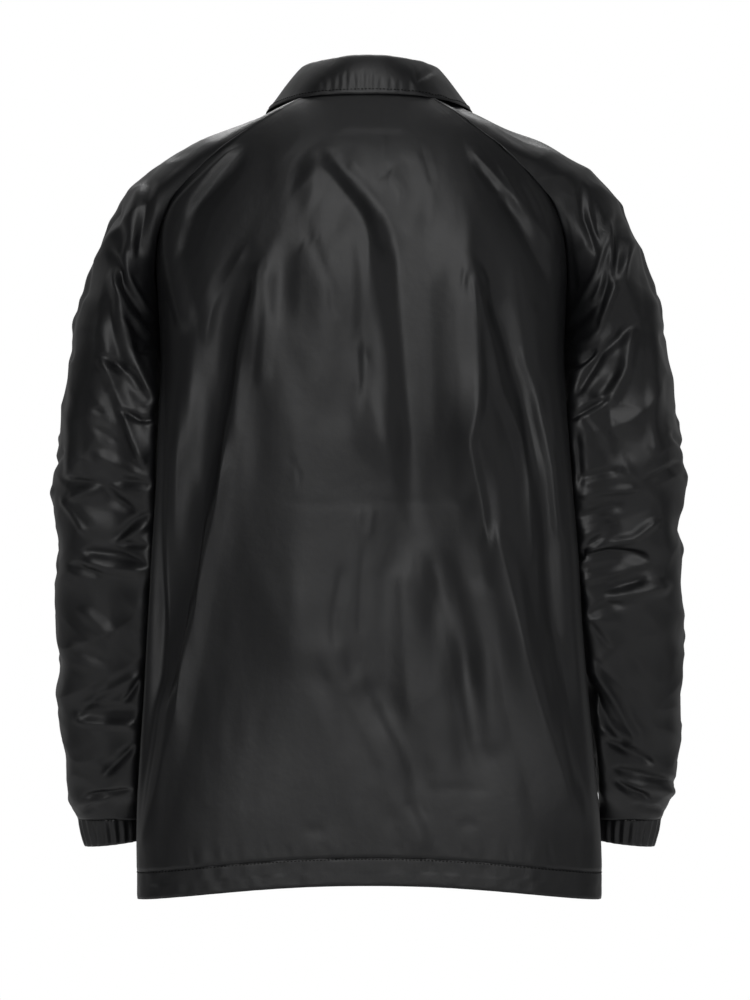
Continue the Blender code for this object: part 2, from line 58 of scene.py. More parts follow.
camera_data = bpy.data.cameras.new("photo_camera")
camera_data.sensor_width = SENSOR
camera_data.lens = SENSOR * CAMERA_DISTANCE / (PHOTO_HEIGHT * PIXEL)
camera = bpy.data.objects.new("photo_camera", camera_data)
camera.location = (
    (NECK_PIXEL[0] - PHOTO_WIDTH / 2) * PIXEL,
    CAMERA_DISTANCE,
    (NECK_PIXEL[1] - PHOTO_HEIGHT / 2) * PIXEL,
)
camera.rotation_euler = (math.radians(90), 0, math.radians(180))
bpy.context.scene.collection.objects.link(camera)
bpy.context.scene.camera = camera


def photo_place(points, from_front=False):
    """The pixels at which the photo, or one like it from the front, shows points of the jacket."""
    towards = -1 if from_front else 1
    scale = PIXEL * (CAMERA_DISTANCE - towards * points[:, 1]) / CAMERA_DISTANCE
    across = PHOTO_WIDTH / 2 - (points[:, 0] - camera.location.x) / scale
    down = PHOTO_HEIGHT / 2 - (points[:, 2] - camera.location.z) / scale
    return across, down


# The back: one panel of light satin-faced nylon, cut from the neck to the hem with raglan slants at its
# sides. It is sewn to the sleeves and fronts and hangs in long folds. Its lower edge is turned up into the
# hem, a casing held by one row of stitches, so the folds run on across the hem.
HEM_TOP = -0.655
NYLON = 0.0007

# A fold: its height out of the cloth in mm, the widths of its two sides in pixels as its line is followed,
# how sharp its crest is from 0 for a soft swell to 1 for a crease, and the pixels of the photo on its line.
# Two widths are those at the start and the end of the line.
Fold = namedtuple("Fold", "height left right edge line")
BACK_FOLDS = [
    # Below the collar.
    Fold(0.7, 5, 5, 0.6, ((356, 103), (385, 104), (416, 102))),
    Fold(0.5, 5, 7, 0.3, ((333, 128), (372, 128), (414, 128))),
    Fold(-0.5, 5, 6, 0.6, ((334, 134), (372, 134.5), (413, 134))),
    # The upper back.
    Fold(6.6, (30, 130), (13, 44), 0.7, ((309, 146), (326, 171), (345, 195), (360, 216), (368, 240),
                                         (367, 300), (368, 356))),
    Fold(-1.6, 12, 14, 0.3, ((320, 150), (342, 172), (362, 196), (378, 222), (388, 256))),
    Fold(-3.4, 32, 64, 0.0, ((398, 190), (404, 300), (408, 380), (416, 437), (426, 500), (436, 560))),
    Fold(5.0, 44, 24, 0.0, ((356, 190), (368, 225), (374, 260), (382, 350), (392, 480))),
    Fold(2.6, 60, 16, 0.0, ((345, 225), (347, 300), (348, 360), (356, 430))),
    Fold(1.2, 8, 18, 0.6, ((312, 147), (338, 161), (368, 174))),
    Fold(1.1, 20, 12, 0.6, ((311, 146), (314, 181), (308, 212))),
    Fold(-1.0, 8, 8, 0.7, ((398, 162), (386, 171), (370, 183))),
    Fold(-1.2, 20, 18, 0.1, ((402, 150), (416, 193), (410, 240))),
    Fold(-0.5, 8, 9, 0.6, ((420, 143), (427, 166), (434, 189))),
    Fold(2.2, 9, 9, 0.9, ((466, 144), (498, 180), (526, 215))),
    Fold(-1.8, 8, 7, 0.8, ((473, 159), (488, 177), (501, 195))),
    Fold(-2.6, 10, 9, 0.8, ((499, 191), (520, 224), (534, 250), (549, 280))),
    Fold(2.2, 9, 9, 0.8, ((497, 163), (532, 220), (558, 256))),
    Fold(1.6, 8, 8, 0.8, ((523, 175), (540, 211), (557, 249))),
    Fold(-1.6, 7, 7, 0.8, ((528, 299), (539, 305), (551, 310))),
    Fold(-1.1, 9, 6, 1.0, ((303, 223), (316, 248), (331, 285), (335, 322))),
    Fold(-0.8, 18, 18, 0.0, ((284, 236), (282, 330))),
    # The left of the back.
    Fold(4.6, 12, 16, 0.6, ((240, 144), (196, 186), (168, 214), (168, 250), (173, 280), (187, 335))),
    Fold(-2.6, 9, 18, 0.3, ((242, 150), (218, 178), (196, 206), (180, 262))),
    Fold(1.6, 10, 9, 1.0, ((247, 246), (228, 278), (212, 307), (203, 347))),
    Fold(-8.0, (200, 260), (36, 190), 0.6, ((259, 272), (238, 367), (225, 437), (212, 508), (202, 560),
                                           (189, 618), (171, 706), (153, 790), (140, 860))),
    Fold(-7.0, 220, (70, 200), 0.5, ((216, 490), (202, 560), (189, 618), (171, 706), (153, 790),
                                     (140, 876))),
    Fold(2.2, (10, 16), (14, 24), 1.0, ((259, 260), (238, 367), (225, 437), (212, 508), (202, 560),
                                        (189, 618), (171, 706), (153, 790), (138, 860))),
    Fold(-6.5, (34, 44), 16, 0.3, ((252, 266), (236, 305), (227, 340), (216, 393), (203, 459), (192, 524),
                                   (184, 560), (168, 630), (150, 715))),
    Fold(1.2, 9, 14, 0.2, ((268, 262), (266, 320), (260, 390))),
    Fold(-1.0, 44, 34, 0.0, ((284, 330), (280, 437), (286, 502), (290, 560), (305, 602), (324, 660))),
    Fold(-1.2, 44, 26, 0.0, ((312, 640), (308, 700), (324, 774), (333, 821), (352, 856))),
    # The middle of the back.
    Fold(-1.8, 5, 5, 0.9, ((356, 344), (364, 355), (371, 366))),
    Fold(1.3, 6, 6, 0.9, ((360, 330), (358, 365), (359, 398))),
    Fold(4.0, 70, (24, 40), 0.5, ((362, 370), (374, 415), (384, 459), (402, 508))),
    Fold(1.6, 24, 18, 0.0, ((452, 262), (456, 420), (461, 505))),
    Fold(-0.5, 5, 5, 0.8, ((278, 501), (320, 505), (360, 503), (420, 501), (479, 500))),
    Fold(-0.8, 4, 4, 1.0, ((283, 460), (291, 462), (299, 465))),
    Fold(-0.7, 4, 4, 0.8, ((292, 462), (300, 474), (298, 490))),
    Fold(1.0, 4, 4, 0.8, ((360, 503), (358, 525), (364, 543))),
    Fold(1.0, 4, 4, 0.8, ((371, 503), (371, 525), (365, 543))),
    Fold(-0.8, 6, 6, 0.6, ((365, 540), (362, 580), (360, 640))),
    # The right of the back.
    Fold(1.7, 6, 6, 0.9, ((461, 292), (466, 272), (473, 265), (481, 272), (490, 293))),
    Fold(2.8, 26, 8, 0.9, ((471, 272), (478, 328), (480, 372), (479, 404), (470, 443), (475, 470),
                           (482, 502), (490, 556))),
    Fold(3.4, 9, (12, 24), 0.9, ((473, 266), (488, 335), (501, 393), (519, 437), (527, 480), (531, 566))),
    Fold(-2.8, 12, 18, 0.5, ((490, 293), (501, 324), (519, 380), (532, 437), (540, 480), (547, 545),
                             (554, 640))),
    Fold(1.4, 8, 8, 0.7, ((520, 345), (538, 402), (552, 470), (558, 540))),
    Fold(4.2, (22, 44), 18, 0.7, ((494, 520), (520, 627), (539, 702), (558, 759), (571, 799), (594, 834))),
    Fold(-1.8, 12, 14, 0.4, ((556, 620), (572, 720), (586, 790))),
    # Down to the hem.
    Fold(1.5, 22, 44, 0.3, ((420, 538), (404, 562), (405, 634), (407, 687), (414, 735))),
    Fold(-0.9, 20, 14, 0.0, ((410, 550), (390, 576), (393, 634), (395, 687), (402, 725))),
    Fold(1.5, 44, 22, 0.3, ((418, 538), (436, 590), (446, 640), (456, 690), (472, 760))),
    Fold(-1.0, 16, 24, 0.0, ((424, 546), (451, 600), (464, 655), (480, 734), (492, 776))),
    Fold(1.2, 22, 22, 0.0, ((476, 575), (482, 680), (494, 760))),
    Fold(1.5, 24, 14, 0.5, ((354, 662), (380, 727), (396, 765), (405, 799), (421, 837), (436, 858))),
    Fold(-1.1, 14, 24, 0.2, ((362, 672), (388, 715), (408, 743), (424, 795))),
    Fold(1.1, 22, 16, 0.2, ((326, 630), (355, 715), (371, 752), (402, 820))),
    Fold(-0.9, 24, 14, 0.2, ((312, 662), (345, 717), (361, 742), (386, 790))),
    Fold(-0.9, 8, 8, 0.5, ((345, 560), (335, 615), (334, 655))),
    Fold(-0.8, 6, 6, 0.7, ((420, 790), (456, 789), (493, 791))),
    Fold(-0.9, 8, 7, 0.4, ((452, 827), (468, 824), (484, 826))),
    Fold(-0.9, 8, 7, 0.4, ((298, 829), (315, 831), (331, 830))),
    Fold(-0.9, 7, 6, 0.6, ((403, 799), (416, 806), (430, 819))),
    # Puckers above the stitches of the hem.
    Fold(-0.7, 4, 4, 0.7, ((188, 850), (194, 859), (197, 868))),
    Fold(-0.6, 4, 4, 0.7, ((222, 848), (226, 857), (232, 866))),
    Fold(-0.7, 5, 4, 0.7, ((262, 842), (268, 853), (275, 862))),
    Fold(-0.8, 4, 4, 0.7, ((283, 845), (289, 853), (292, 861))),
    Fold(-1.0, 4, 5, 0.8, ((318, 842), (327, 853), (337, 863))),
    Fold(-0.8, 4, 4, 0.8, ((346, 846), (343, 854), (338, 862))),
    Fold(-0.7, 4, 4, 0.7, ((395, 842), (399, 851), (404, 860))),
    Fold(-0.6, 4, 4, 0.7, ((430, 846), (436, 855), (438, 863))),
    Fold(-0.8, 5, 4, 0.7, ((462, 843), (467, 854), (475, 864))),
    Fold(-0.6, 4, 4, 0.7, ((505, 848), (509, 857), (511, 866))),
    Fold(-0.8, 4, 5, 0.7, ((547, 842), (550, 855), (558, 867))),
    Fold(-0.6, 4, 4, 0.7, ((575, 850), (577, 859), (582, 868))),
]


# A fold rises over TAPER pixels at each end, or over its own width, and never over more than TAPER_SHARE
# of its line. Its tips have END_WIDTH of its width.
TAPER = 14
TAPER_SHARE = 0.45
END_WIDTH = 0.5
CREASE_POWER = 1.4
MILLIMETRE = 0.001


def ease(value):
    """A smooth rise from 0 to 1, as the value goes from 0 to 1."""
    value = np.clip(value, 0, 1)
    return value * value * (3 - 2 * value)


def fold_heights(across, down, folds):
    """How far a list of folds pushes out each point, which the photo shows at (across, down), in metres."""
    total = np.zeros(len(across))
    for fold in folds:
        line = np.array(fold.line, float)
        left_ends = np.broadcast_to(fold.left, 2)
        right_ends = np.broadcast_to(fold.right, 2)
        widths = np.maximum(left_ends, right_ends)
        low = line.min(axis=0) - widths.max()
        high = line.max(axis=0) + widths.max()
        near = np.nonzero((across > low[0]) & (across < high[0]) & (down > low[1]) & (down < high[1]))[0]
        here = np.stack((across[near], down[near]), axis=1)
        nearest = np.full(len(near), np.inf)
        side = np.zeros(len(near))
        place = np.zeros(len(near))
        walked = 0.0
        for start, end in zip(line[:-1], line[1:]):
            step = end - start
            length = math.hypot(step[0], step[1])
            offset = here - start
            part = np.clip(offset @ step / length ** 2, 0, 1)
            gap = offset - part[:, None] * step
            distance = np.hypot(gap[:, 0], gap[:, 1])
            closer = distance < nearest
            nearest = np.where(closer, distance, nearest)
            side = np.where(closer, step[0] * offset[:, 1] - step[1] * offset[:, 0], side)
            place = np.where(closer, walked + part * length, place)
            walked += length
        rise = np.minimum(np.maximum(widths, TAPER), TAPER_SHARE * walked)
        taper = ease(place / rise[0]) * ease((walked - place) / rise[1])
        left = np.interp(place / walked, (0, 1), left_ends)
        right = np.interp(place / walked, (0, 1), right_ends)
        width = np.where(side > 0, left, right) * (END_WIDTH + (1 - END_WIDTH) * taper)
        off = np.minimum(nearest / width, 1)
        crest = fold.edge * (1 - off) ** CREASE_POWER + (1 - fold.edge) * (1 - off * off) ** 2
        total[near] += fold.height * MILLIMETRE * crest * taper
    return total


MERGE = 0.00002
SHEER_ANGLE = math.radians(60)
LEVEL_RISE = 0.5


def outside_of(node, split):
    """The outer side of a cloth solid as quads: its largest stretch of faces without a sharp edge.

    The faces are halved across their level edges, or across their upright ones, where split says so.
    """
    form = bmesh.new()
    form.from_mesh(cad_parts[node].data)
    bmesh.ops.remove_doubles(form, verts=form.verts, dist=MERGE)
    form.normal_update()
    unseen = set(form.faces)
    best, best_area = [], 0.0
    while unseen:
        stack = [unseen.pop()]
        side, area = [], 0.0
        while stack:
            face = stack.pop()
            side.append(face)
            area += face.calc_area()
            for edge in face.edges:
                for other in edge.link_faces:
                    if other in unseen and edge.calc_face_angle(math.pi) < SHEER_ANGLE:
                        unseen.discard(other)
                        stack.append(other)
        if area > best_area:
            best, best_area = side, area
    kept = set(best)
    bmesh.ops.delete(form, geom=[face for face in form.faces if face not in kept], context="FACES")
    bmesh.ops.join_triangles(
        form, faces=form.faces, angle_face_threshold=SHEER_ANGLE, angle_shape_threshold=math.pi
    )
    halved = []
    for edge in form.edges:
        level = abs(edge.verts[0].co.z - edge.verts[1].co.z) < LEVEL_RISE * edge.calc_length()
        if split == "level" and level or split == "upright" and not level:
            halved.append(edge)
    bmesh.ops.subdivide_edges(form, edges=halved, cuts=1)
    return form


# Random waves in the cloth: their share of the height, how many there are to a metre across and down, how
# much they slant, and how far their pattern is shifted.
Waves = namedtuple("Waves", "share across down slant shift")
RIPPLES = [Waves(1.0, 34, 13, 0, (0, 0)), Waves(0.5, 75, 36, 0, (0, 0))]
CREASES = [Waves(1.0, 11, 19, 8, (3, 0)), Waves(0.35, 24, 40, -14, (0, 7))]


def wave_heights(point, rows):
    """The height at a point of each of a list of random waves."""
    x, y, z = point
    heights = []
    for row in rows:
        across = x * row.across + row.shift[0]
        deep = y * row.across + row.shift[1]
        heights.append(row.share * noise.noise((across, deep, z * row.down + x * row.slant)))
    return heights


# Seams hold the cloth: folds reach their height FOLD_CLEAR from them, and waves WAVE_CLEAR. The sewing draws
# up GATHERS to a metre, most at GATHER_REACH from a seam. A panel's edges reach and sink into its seams.
FOLD_CLEAR = 0.012
WAVE_CLEAR = 0.02
GATHERS = 105
GATHER_REACH = 0.005
SEAM_REACH = 0.0012
SEAM_SINK = 0.0003
# Heights below and above the whole jacket, for panels that are held at all their edges or at none.
ALL_EDGES = -9.0
NO_EDGES = 9.0
# Folds fade as the cloth turns away from their view, over SIDE_FADE, or from OUTER_FACING on at the sides.
SIDE_FADE = 0.45
OUTER_FACING = 0.4
SMOOTHING = 0.6
SOFTENING = 0.4


class Panel:
    """A fine mesh on the outside of a cloth solid, whose points can be smoothed and pushed out."""

    def __init__(self, node, levels, passes, split=None):
        form = outside_of(node, split)
        mesh = bpy.data.meshes.new(node + "_form")
        form.to_mesh(mesh)
        form.free()
        made = bpy.data.objects.new(node + "_form", mesh)
        bpy.context.scene.collection.objects.link(made)
        rounding = made.modifiers.new("rounding", "SUBSURF")
        rounding.levels = levels
        rounding.render_levels = levels
        rounding.boundary_smooth = "PRESERVE_CORNERS"
        graph = bpy.context.evaluated_depsgraph_get()
        self.node = node
        self.mesh = bpy.data.meshes.new_from_object(made.evaluated_get(graph))
        bpy.data.objects.remove(made)
        count = len(self.mesh.vertices)
        self.points = np.zeros(count * 3)
        self.mesh.vertices.foreach_get("co", self.points)
        self.points = self.points.reshape(-1, 3)
        edges = np.zeros(len(self.mesh.edges) * 2, int)
        self.mesh.edges.foreach_get("vertices", edges)
        self.edges = edges.reshape(-1, 2)
        uses = np.zeros(len(self.mesh.edges), int)
        loops = np.zeros(len(self.mesh.loops), int)
        self.mesh.loops.foreach_get("edge_index", loops)
        np.add.at(uses, loops, 1)
        self.rim_edges = self.edges[uses == 1]
        self.rim = np.zeros(count, bool)
        self.rim[self.rim_edges.ravel()] = True
        self.degree = np.bincount(self.edges.ravel(), minlength=count)[:, None]
        self.smooth(passes)

    def smooth(self, passes, strength=SMOOTHING):
        """Evens out the points, with the panel's edges left where they are."""
        first, second = self.edges[:, 0], self.edges[:, 1]
        for turn in range(passes):
            total = np.zeros_like(self.points)
            np.add.at(total, first, self.points[second])
            np.add.at(total, second, self.points[first])
            step = (total / self.degree - self.points) * strength
            step[self.rim] = 0
            self.points += step

    def normals(self):
        self.mesh.vertices.foreach_set("co", self.points.ravel())
        self.mesh.update()
        found = np.zeros(len(self.points) * 3)
        self.mesh.vertex_normals.foreach_get("vector", found)
        return found.reshape(-1, 3)

    def shape(self, seen, hidden, beside=(), held_above=ALL_EDGES, wrap=-0.1, strength=1.0, pucker=0.0005,
              ripple=0.0004, crumple=0.0, soften=1):
        """Pushes out the folds that the photo shows, similar ones on the front and the sides, and puckers.

        Folds fade towards the edges of the panel that are higher than held_above, where seams hold it. They
        fade towards the sides of the jacket too, or run on round them by as much as wrap. A crumple adds
        uneven cross creases between the folds, and each pass of soften rounds them all a little.
        """
        facing = self.normals()
        heights = ease((facing[:, 1] + wrap) / SIDE_FADE) * fold_heights(*photo_place(self.points), seen)
        from_front = photo_place(self.points, from_front=True)
        heights += ease((wrap - facing[:, 1]) / SIDE_FADE) * fold_heights(*from_front, hidden)
        across = PHOTO_WIDTH / 2 + self.points[:, 1] / PIXEL
        down = NECK_PIXEL[1] - self.points[:, 2] / PIXEL
        outer = ease((np.abs(facing[:, 0]) - OUTER_FACING) / OUTER_FACING)
        heights += outer * fold_heights(across, down, beside)
        edge_points = self.points[self.rim]
        tree = kdtree.KDTree(len(edge_points))
        for index, point in enumerate(edge_points):
            tree.insert(point, index)
        tree.balance()
        gaps, gathers, ripples, creases = np.zeros((4, len(self.points)))
        for index, point in enumerate(self.points):
            place, _, gap = tree.find(point)
            gaps[index] = gap if place.z > held_above else 1.0
            pull = gap / GATHER_REACH * math.exp(1 - gap / GATHER_REACH)
            gathers[index] = noise.noise(place * GATHERS) * pull
            ripples[index] = sum(wave_heights(point, RIPPLES))
            creases[index] = sum(abs(height) for height in wave_heights(point, CREASES))
        heights *= strength * ease(gaps / FOLD_CLEAR)
        heights += pucker * gathers + (ripple * ripples - crumple * creases) * ease(gaps / WAVE_CLEAR)
        self.points += facing * heights[:, None]
        self.smooth(soften, SOFTENING)

    def inward(self):
        """The way into the panel at each point of its edge, and nothing at its other points."""
        ways = np.zeros_like(self.points)
        first, second = self.edges[:, 0], self.edges[:, 1]
        for here, there in ((first, second), (second, first)):
            leaving = self.rim[here] & ~self.rim[there]
            np.add.at(ways, here[leaving], self.points[there[leaving]] - self.points[here[leaving]])
        return ways / np.maximum(np.linalg.norm(ways, axis=1), MERGE)[:, None]

    def surface(self):
        """The panel as a surface on which the nearest place can be looked up."""
        return BVHTree.FromPolygons(self.points.tolist(), [face.vertices[:] for face in self.mesh.polygons])

    def finish(self, name, material, thickness, lined=True):
        """The panel as a named piece with a thin wall inwards, in place of its solid.

        Its edges reach into the seams, so that no light shows through them. A piece that isn't lined has its
        thickness at its edges only, and one surface between them.
        """
        self.points -= SEAM_REACH * self.inward() + SEAM_SINK * self.normals() * self.rim[:, None]
        self.mesh.vertices.foreach_set("co", self.points.ravel())
        self.mesh.polygons.foreach_set("use_smooth", [True] * len(self.mesh.polygons))
        self.mesh.update()
        self.mesh.name = name
        made = bpy.data.objects.new(name, self.mesh)
        bpy.context.scene.collection.objects.link(made)
        self.mesh.materials.clear()
        self.mesh.materials.append(material)
        wall = made.modifiers.new("wall", "SOLIDIFY")
        wall.thickness = thickness
        wall.offset = -1.0
        wall.use_rim_only = not lined
        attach(made, "root")
        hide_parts(self.node)
        return made


def node_tree(name, kind, given, result):
    """A tree of nodes with named inputs and outputs, and its own nodes for the two."""
    tree = bpy.data.node_groups.new(name, kind)
    for way, sockets in (("INPUT", given), ("OUTPUT", result)):
        for label, form in sockets:
            tree.interface.new_socket(label, in_out=way, socket_type="NodeSocket" + form)
    return tree, tree.nodes.new("NodeGroupInput"), tree.nodes.new("NodeGroupOutput")


def new_node(tree, kind, **values):
    """A new node of a tree, with values for its inputs, whose names have _ for a space here."""
    made = tree.nodes.new(kind)
    for label, value in values.items():
        made.inputs[label.replace("_", " ")].default_value = value
    return made


def wire(tree, *links):
    """Joins nodes, with each link as a node, its output, the next node and the input there."""
    for source, output, target, entry in links:
        tree.links.new(source.outputs[output], target.inputs[entry])


CRINKLE_SCALE = 150.0
CRINKLE_DETAIL = 3.0
WEAVE_SCALE = 520.0
WEAVE_SHARE = 0.12
PATCH_SCALE = 24.0
PATCH_DETAIL = 4.0
SHEEN_SWING = 0.12
RELIEF_STRENGTH = 0.3
RELIEF_DEPTH = 0.0006


def nylon_group():
    """Shared look of the nylon: fine weave and crinkles as a height, and an uneven sheen as a roughness."""
    tree, given, result = node_tree(
        "satin_nylon", "ShaderNodeTree",
        [("Roughness", "Float")],
        [("Height", "Float"), ("Roughness", "Float")],
    )
    place = new_node(tree, "ShaderNodeTexCoord")
    crinkle = new_node(tree, "ShaderNodeTexNoise", Scale=CRINKLE_SCALE, Detail=CRINKLE_DETAIL)
    weave = new_node(tree, "ShaderNodeTexWave", Scale=WEAVE_SCALE)
    weave.bands_direction = "Z"
    mix = new_node(tree, "ShaderNodeMix", Factor=WEAVE_SHARE)
    patches = new_node(tree, "ShaderNodeTexNoise", Scale=PATCH_SCALE, Detail=PATCH_DETAIL)
    swing = new_node(tree, "ShaderNodeMath")
    swing.operation = "MULTIPLY_ADD"
    swing.inputs[1].default_value = SHEEN_SWING
    total = new_node(tree, "ShaderNodeMath")
    total.operation = "SUBTRACT"
    total.inputs[1].default_value = SHEEN_SWING / 2
    wire(
        tree,
        (place, "Object", crinkle, "Vector"),
        (place, "Object", weave, "Vector"),
        (place, "Object", patches, "Vector"),
        (crinkle, "Fac", mix, "A"),
        (weave, "Fac", mix, "B"),
        (mix, "Result", result, "Height"),
        (patches, "Fac", swing, 0),
        (given, "Roughness", swing, 2),
        (swing, 0, total, 0),
        (total, 0, result, "Roughness"),
    )
    return tree


satin = nylon_group()


def nylon(name, colour, roughness):
    """A black nylon, of the cloth or of its sewing thread."""
    made = bpy.data.materials.new(name)
    made.use_nodes = True
    tree = made.node_tree
    shader = tree.nodes["Principled BSDF"]
    shader.inputs["Base Color"].default_value = (*colour, 1)
    cloth = new_node(tree, "ShaderNodeGroup")
    cloth.node_tree = satin
    cloth.inputs["Roughness"].default_value = roughness
    relief = new_node(tree, "ShaderNodeBump", Strength=RELIEF_STRENGTH, Distance=RELIEF_DEPTH)
    wire(
        tree,
        (cloth, "Height", relief, "Height"),
        (relief, "Normal", shader, "Normal"),
        (cloth, "Roughness", shader, "Roughness"),
    )
    return made


NYLON_BLACK = (0.0052, 0.0054, 0.0062)
NYLON_ROUGHNESS = 0.45
BACK_STRENGTH = 0.95

black_nylon = nylon("black_satin_nylon", NYLON_BLACK, NYLON_ROUGHNESS)
back_panel = Panel("back", levels=3, passes=12, split="level")
back_panel.shape(BACK_FOLDS, BACK_FOLDS, held_above=HEM_TOP, strength=BACK_STRENGTH, soften=3)
back_cloth = back_panel.finish("back_cloth", black_nylon, NYLON, lined=False)
hem_back_panel = Panel("hem_back", levels=3, passes=6)
hem_back_panel.shape(BACK_FOLDS, BACK_FOLDS, held_above=NO_EDGES, strength=BACK_STRENGTH, pucker=0.0008)
hem_back_cloth = hem_back_panel.finish("hem_back_cloth", black_nylon, NYLON)

# The thread's colour is partly its own black and partly painted shade: it is darker than the cloth so that
# it stands in for the shadow in the small dimples that the stitches press into the cloth.
THREAD_BLACK_AND_DIMPLE_SHADE = (0.004, 0.004, 0.004)
THREAD_ROUGHNESS = 0.8
THREAD_GLOSS = 0.15
THREAD_WIDTH = 0.0008
THREAD_LIFT = 0.3
STITCH_PITCH = 0.0032
STITCH_LENGTH = 0.0024
STITCH_INSET = 0.0018
STITCH_SEGMENTS = 6
STITCH_RINGS = 4


def stitch_nodes():
    """Geometry nodes that set a stitch at even steps along each line of a mesh."""
    tree, given, result = node_tree(
        "stitches", "GeometryNodeTree",
        [("Geometry", "Geometry"), ("Pitch", "Float"), ("Length", "Float"), ("Thread", "Float"),
         ("Material", "Material")],
        [("Geometry", "Geometry")],
    )
    line = new_node(tree, "GeometryNodeMeshToCurve")
    steps = new_node(tree, "GeometryNodeResampleCurve")
    steps.mode = "LENGTH"
    thread = new_node(
        tree, "GeometryNodeMeshUVSphere", Segments=STITCH_SEGMENTS, Rings=STITCH_RINGS, Radius=0.5
    )
    size = new_node(tree, "ShaderNodeCombineXYZ")
    along = new_node(tree, "GeometryNodeInputTangent")
    turn = new_node(tree, "FunctionNodeAlignRotationToVector")
    turn.axis = "X"
    sewn = new_node(tree, "GeometryNodeInstanceOnPoints")
    whole = new_node(tree, "GeometryNodeRealizeInstances")
    dyed = new_node(tree, "GeometryNodeSetMaterial")
    wire(
        tree,
        (given, "Geometry", line, "Mesh"),
        (line, "Curve", steps, "Curve"),
        (given, "Pitch", steps, "Length"),
        (steps, "Curve", sewn, "Points"),
        (thread, "Mesh", sewn, "Instance"),
        (given, "Length", size, "X"),
        (given, "Thread", size, "Y"),
        (given, "Thread", size, "Z"),
        (size, "Vector", sewn, "Scale"),
        (along, "Tangent", turn, "Vector"),
        (turn, "Rotation", sewn, "Rotation"),
        (sewn, "Instances", whole, "Geometry"),
        (whole, "Geometry", dyed, "Geometry"),
        (given, "Material", dyed, "Material"),
        (dyed, "Geometry", result, "Geometry"),
    )
    return tree


sewing = stitch_nodes()
# The thread's material is darker than the cloth's, partly as painted shade for the shadow of the stitch
# dimples.
black_thread = nylon("black_thread", THREAD_BLACK_AND_DIMPLE_SHADE, THREAD_ROUGHNESS)
black_thread.node_tree.nodes["Principled BSDF"].inputs["Specular IOR Level"].default_value = THREAD_GLOSS


def grown(name, mesh, nodes, values):
    """A piece that geometry nodes with named values grow from a mesh, as a plain mesh on the jacket."""
    made = bpy.data.objects.new(name, mesh)
    bpy.context.scene.collection.objects.link(made)
    growth = made.modifiers.new("growth", "NODES")
    growth.node_group = nodes
    for socket in nodes.interface.items_tree:
        if socket.in_out == "INPUT" and socket.name in values:
            growth[socket.identifier] = values[socket.name]
    graph = bpy.context.evaluated_depsgraph_get()
    result = bpy.data.meshes.new_from_object(made.evaluated_get(graph))
    made.modifiers.remove(growth)
    made.data = result
    result.name = name
    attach(made, "root")
    return made


def stitched(panel, name, chosen, inset, beyond=0.0):
    """A row of stitches inside each edge of a panel for which chosen is true of the way into the panel.

    Edges that are no further than beyond from the upright line through the neck have none.
    """
    inward = panel.inward()
    surface = panel.surface()
    order = {}
    places = []
    for index in np.nonzero(panel.rim)[0].tolist():
        if chosen(inward[index]) and math.hypot(*panel.points[index][:2]) > beyond:
            place, normal, _, _ = surface.find_nearest(panel.points[index] + inward[index] * inset)
            order[index] = len(places)
            places.append(place + normal * THREAD_WIDTH * THREAD_LIFT)
    lines = [(order[a], order[b]) for a, b in panel.rim_edges.tolist() if a in order and b in order]
    mesh = bpy.data.meshes.new(name + "_line")
    mesh.from_pydata(places, lines, [])
    row = grown(name, mesh, sewing, {
        "Pitch": STITCH_PITCH, "Length": STITCH_LENGTH, "Thread": THREAD_WIDTH, "Material": black_thread,
    })
    return row


# At the chosen edges, the way into the panel points down, or to the left, by at least this share.
STRAIGHT = 0.7


def into_hem(way):
    return way[2] < -STRAIGHT


hem_stitches = stitched(hem_back_panel, "hem_back_stitches", into_hem, STITCH_INSET)

# The fronts: two panels of the same nylon, the left one lapped over the right and closed by snaps, each
# with its turned-up hem. They are out of the photo, so they have hanging folds like those of the back.
EDGE_INSET = 0.0045
FRONT_FOLDS = [
    Fold(-2.4, 16, 14, 0.4, ((268, 150), (262, 230), (250, 330), (246, 420), (232, 520))),
    Fold(2.6, 14, 22, 0.7, ((246, 170), (236, 280), (222, 390), (205, 500), (196, 600))),
    Fold(-1.8, 18, 18, 0.2, ((300, 200), (304, 320), (296, 450), (306, 560), (318, 700))),
    Fold(1.6, 16, 12, 0.5, ((322, 300), (318, 420), (326, 540), (336, 660))),
    Fold(2.0, 14, 14, 0.6, ((178, 250), (188, 330), (184, 440), (172, 560), (160, 690))),
    Fold(-2.0, 14, 12, 0.5, ((206, 560), (190, 660), (176, 760), (166, 845))),
    Fold(1.8, 12, 12, 0.7, ((262, 610), (250, 700), (236, 790), (226, 850))),
    Fold(-1.4, 10, 12, 0.5, ((292, 640), (282, 730), (270, 820))),
    Fold(-1.2, 7, 7, 0.8, ((198, 208), (226, 232), (258, 262))),
    Fold(1.2, 8, 8, 0.7, ((186, 232), (214, 262), (240, 302))),
    Fold(-0.8, 6, 6, 1.0, ((180, 500), (230, 505), (290, 501), (330, 503))),
    Fold(-2.4, 14, 16, 0.4, ((470, 156), (478, 240), (492, 340), (498, 440), (512, 540))),
    Fold(2.4, 20, 12, 0.7, ((494, 176), (506, 290), (520, 400), (534, 510), (546, 620))),
    Fold(-1.8, 16, 16, 0.2, ((440, 210), (436, 330), (446, 450), (434, 570), (428, 690))),
    Fold(1.5, 12, 14, 0.5, ((416, 320), (424, 440), (414, 560), (408, 670))),
    Fold(2.0, 14, 14, 0.6, ((560, 262), (552, 350), (556, 450), (568, 570), (580, 700))),
    Fold(-2.0, 12, 14, 0.5, ((538, 540), (552, 650), (566, 760), (580, 842))),
    Fold(1.7, 12, 12, 0.7, ((482, 600), (494, 700), (510, 800), (518, 852))),
    Fold(-1.3, 12, 10, 0.5, ((452, 650), (462, 740), (478, 824))),
    Fold(-1.1, 7, 7, 0.8, ((536, 206), (508, 236), (484, 268))),
    Fold(-0.8, 6, 6, 1.0, ((412, 502), (460, 500), (520, 504), (556, 501))),
]


def into_left(way):
    return way[0] > STRAIGHT


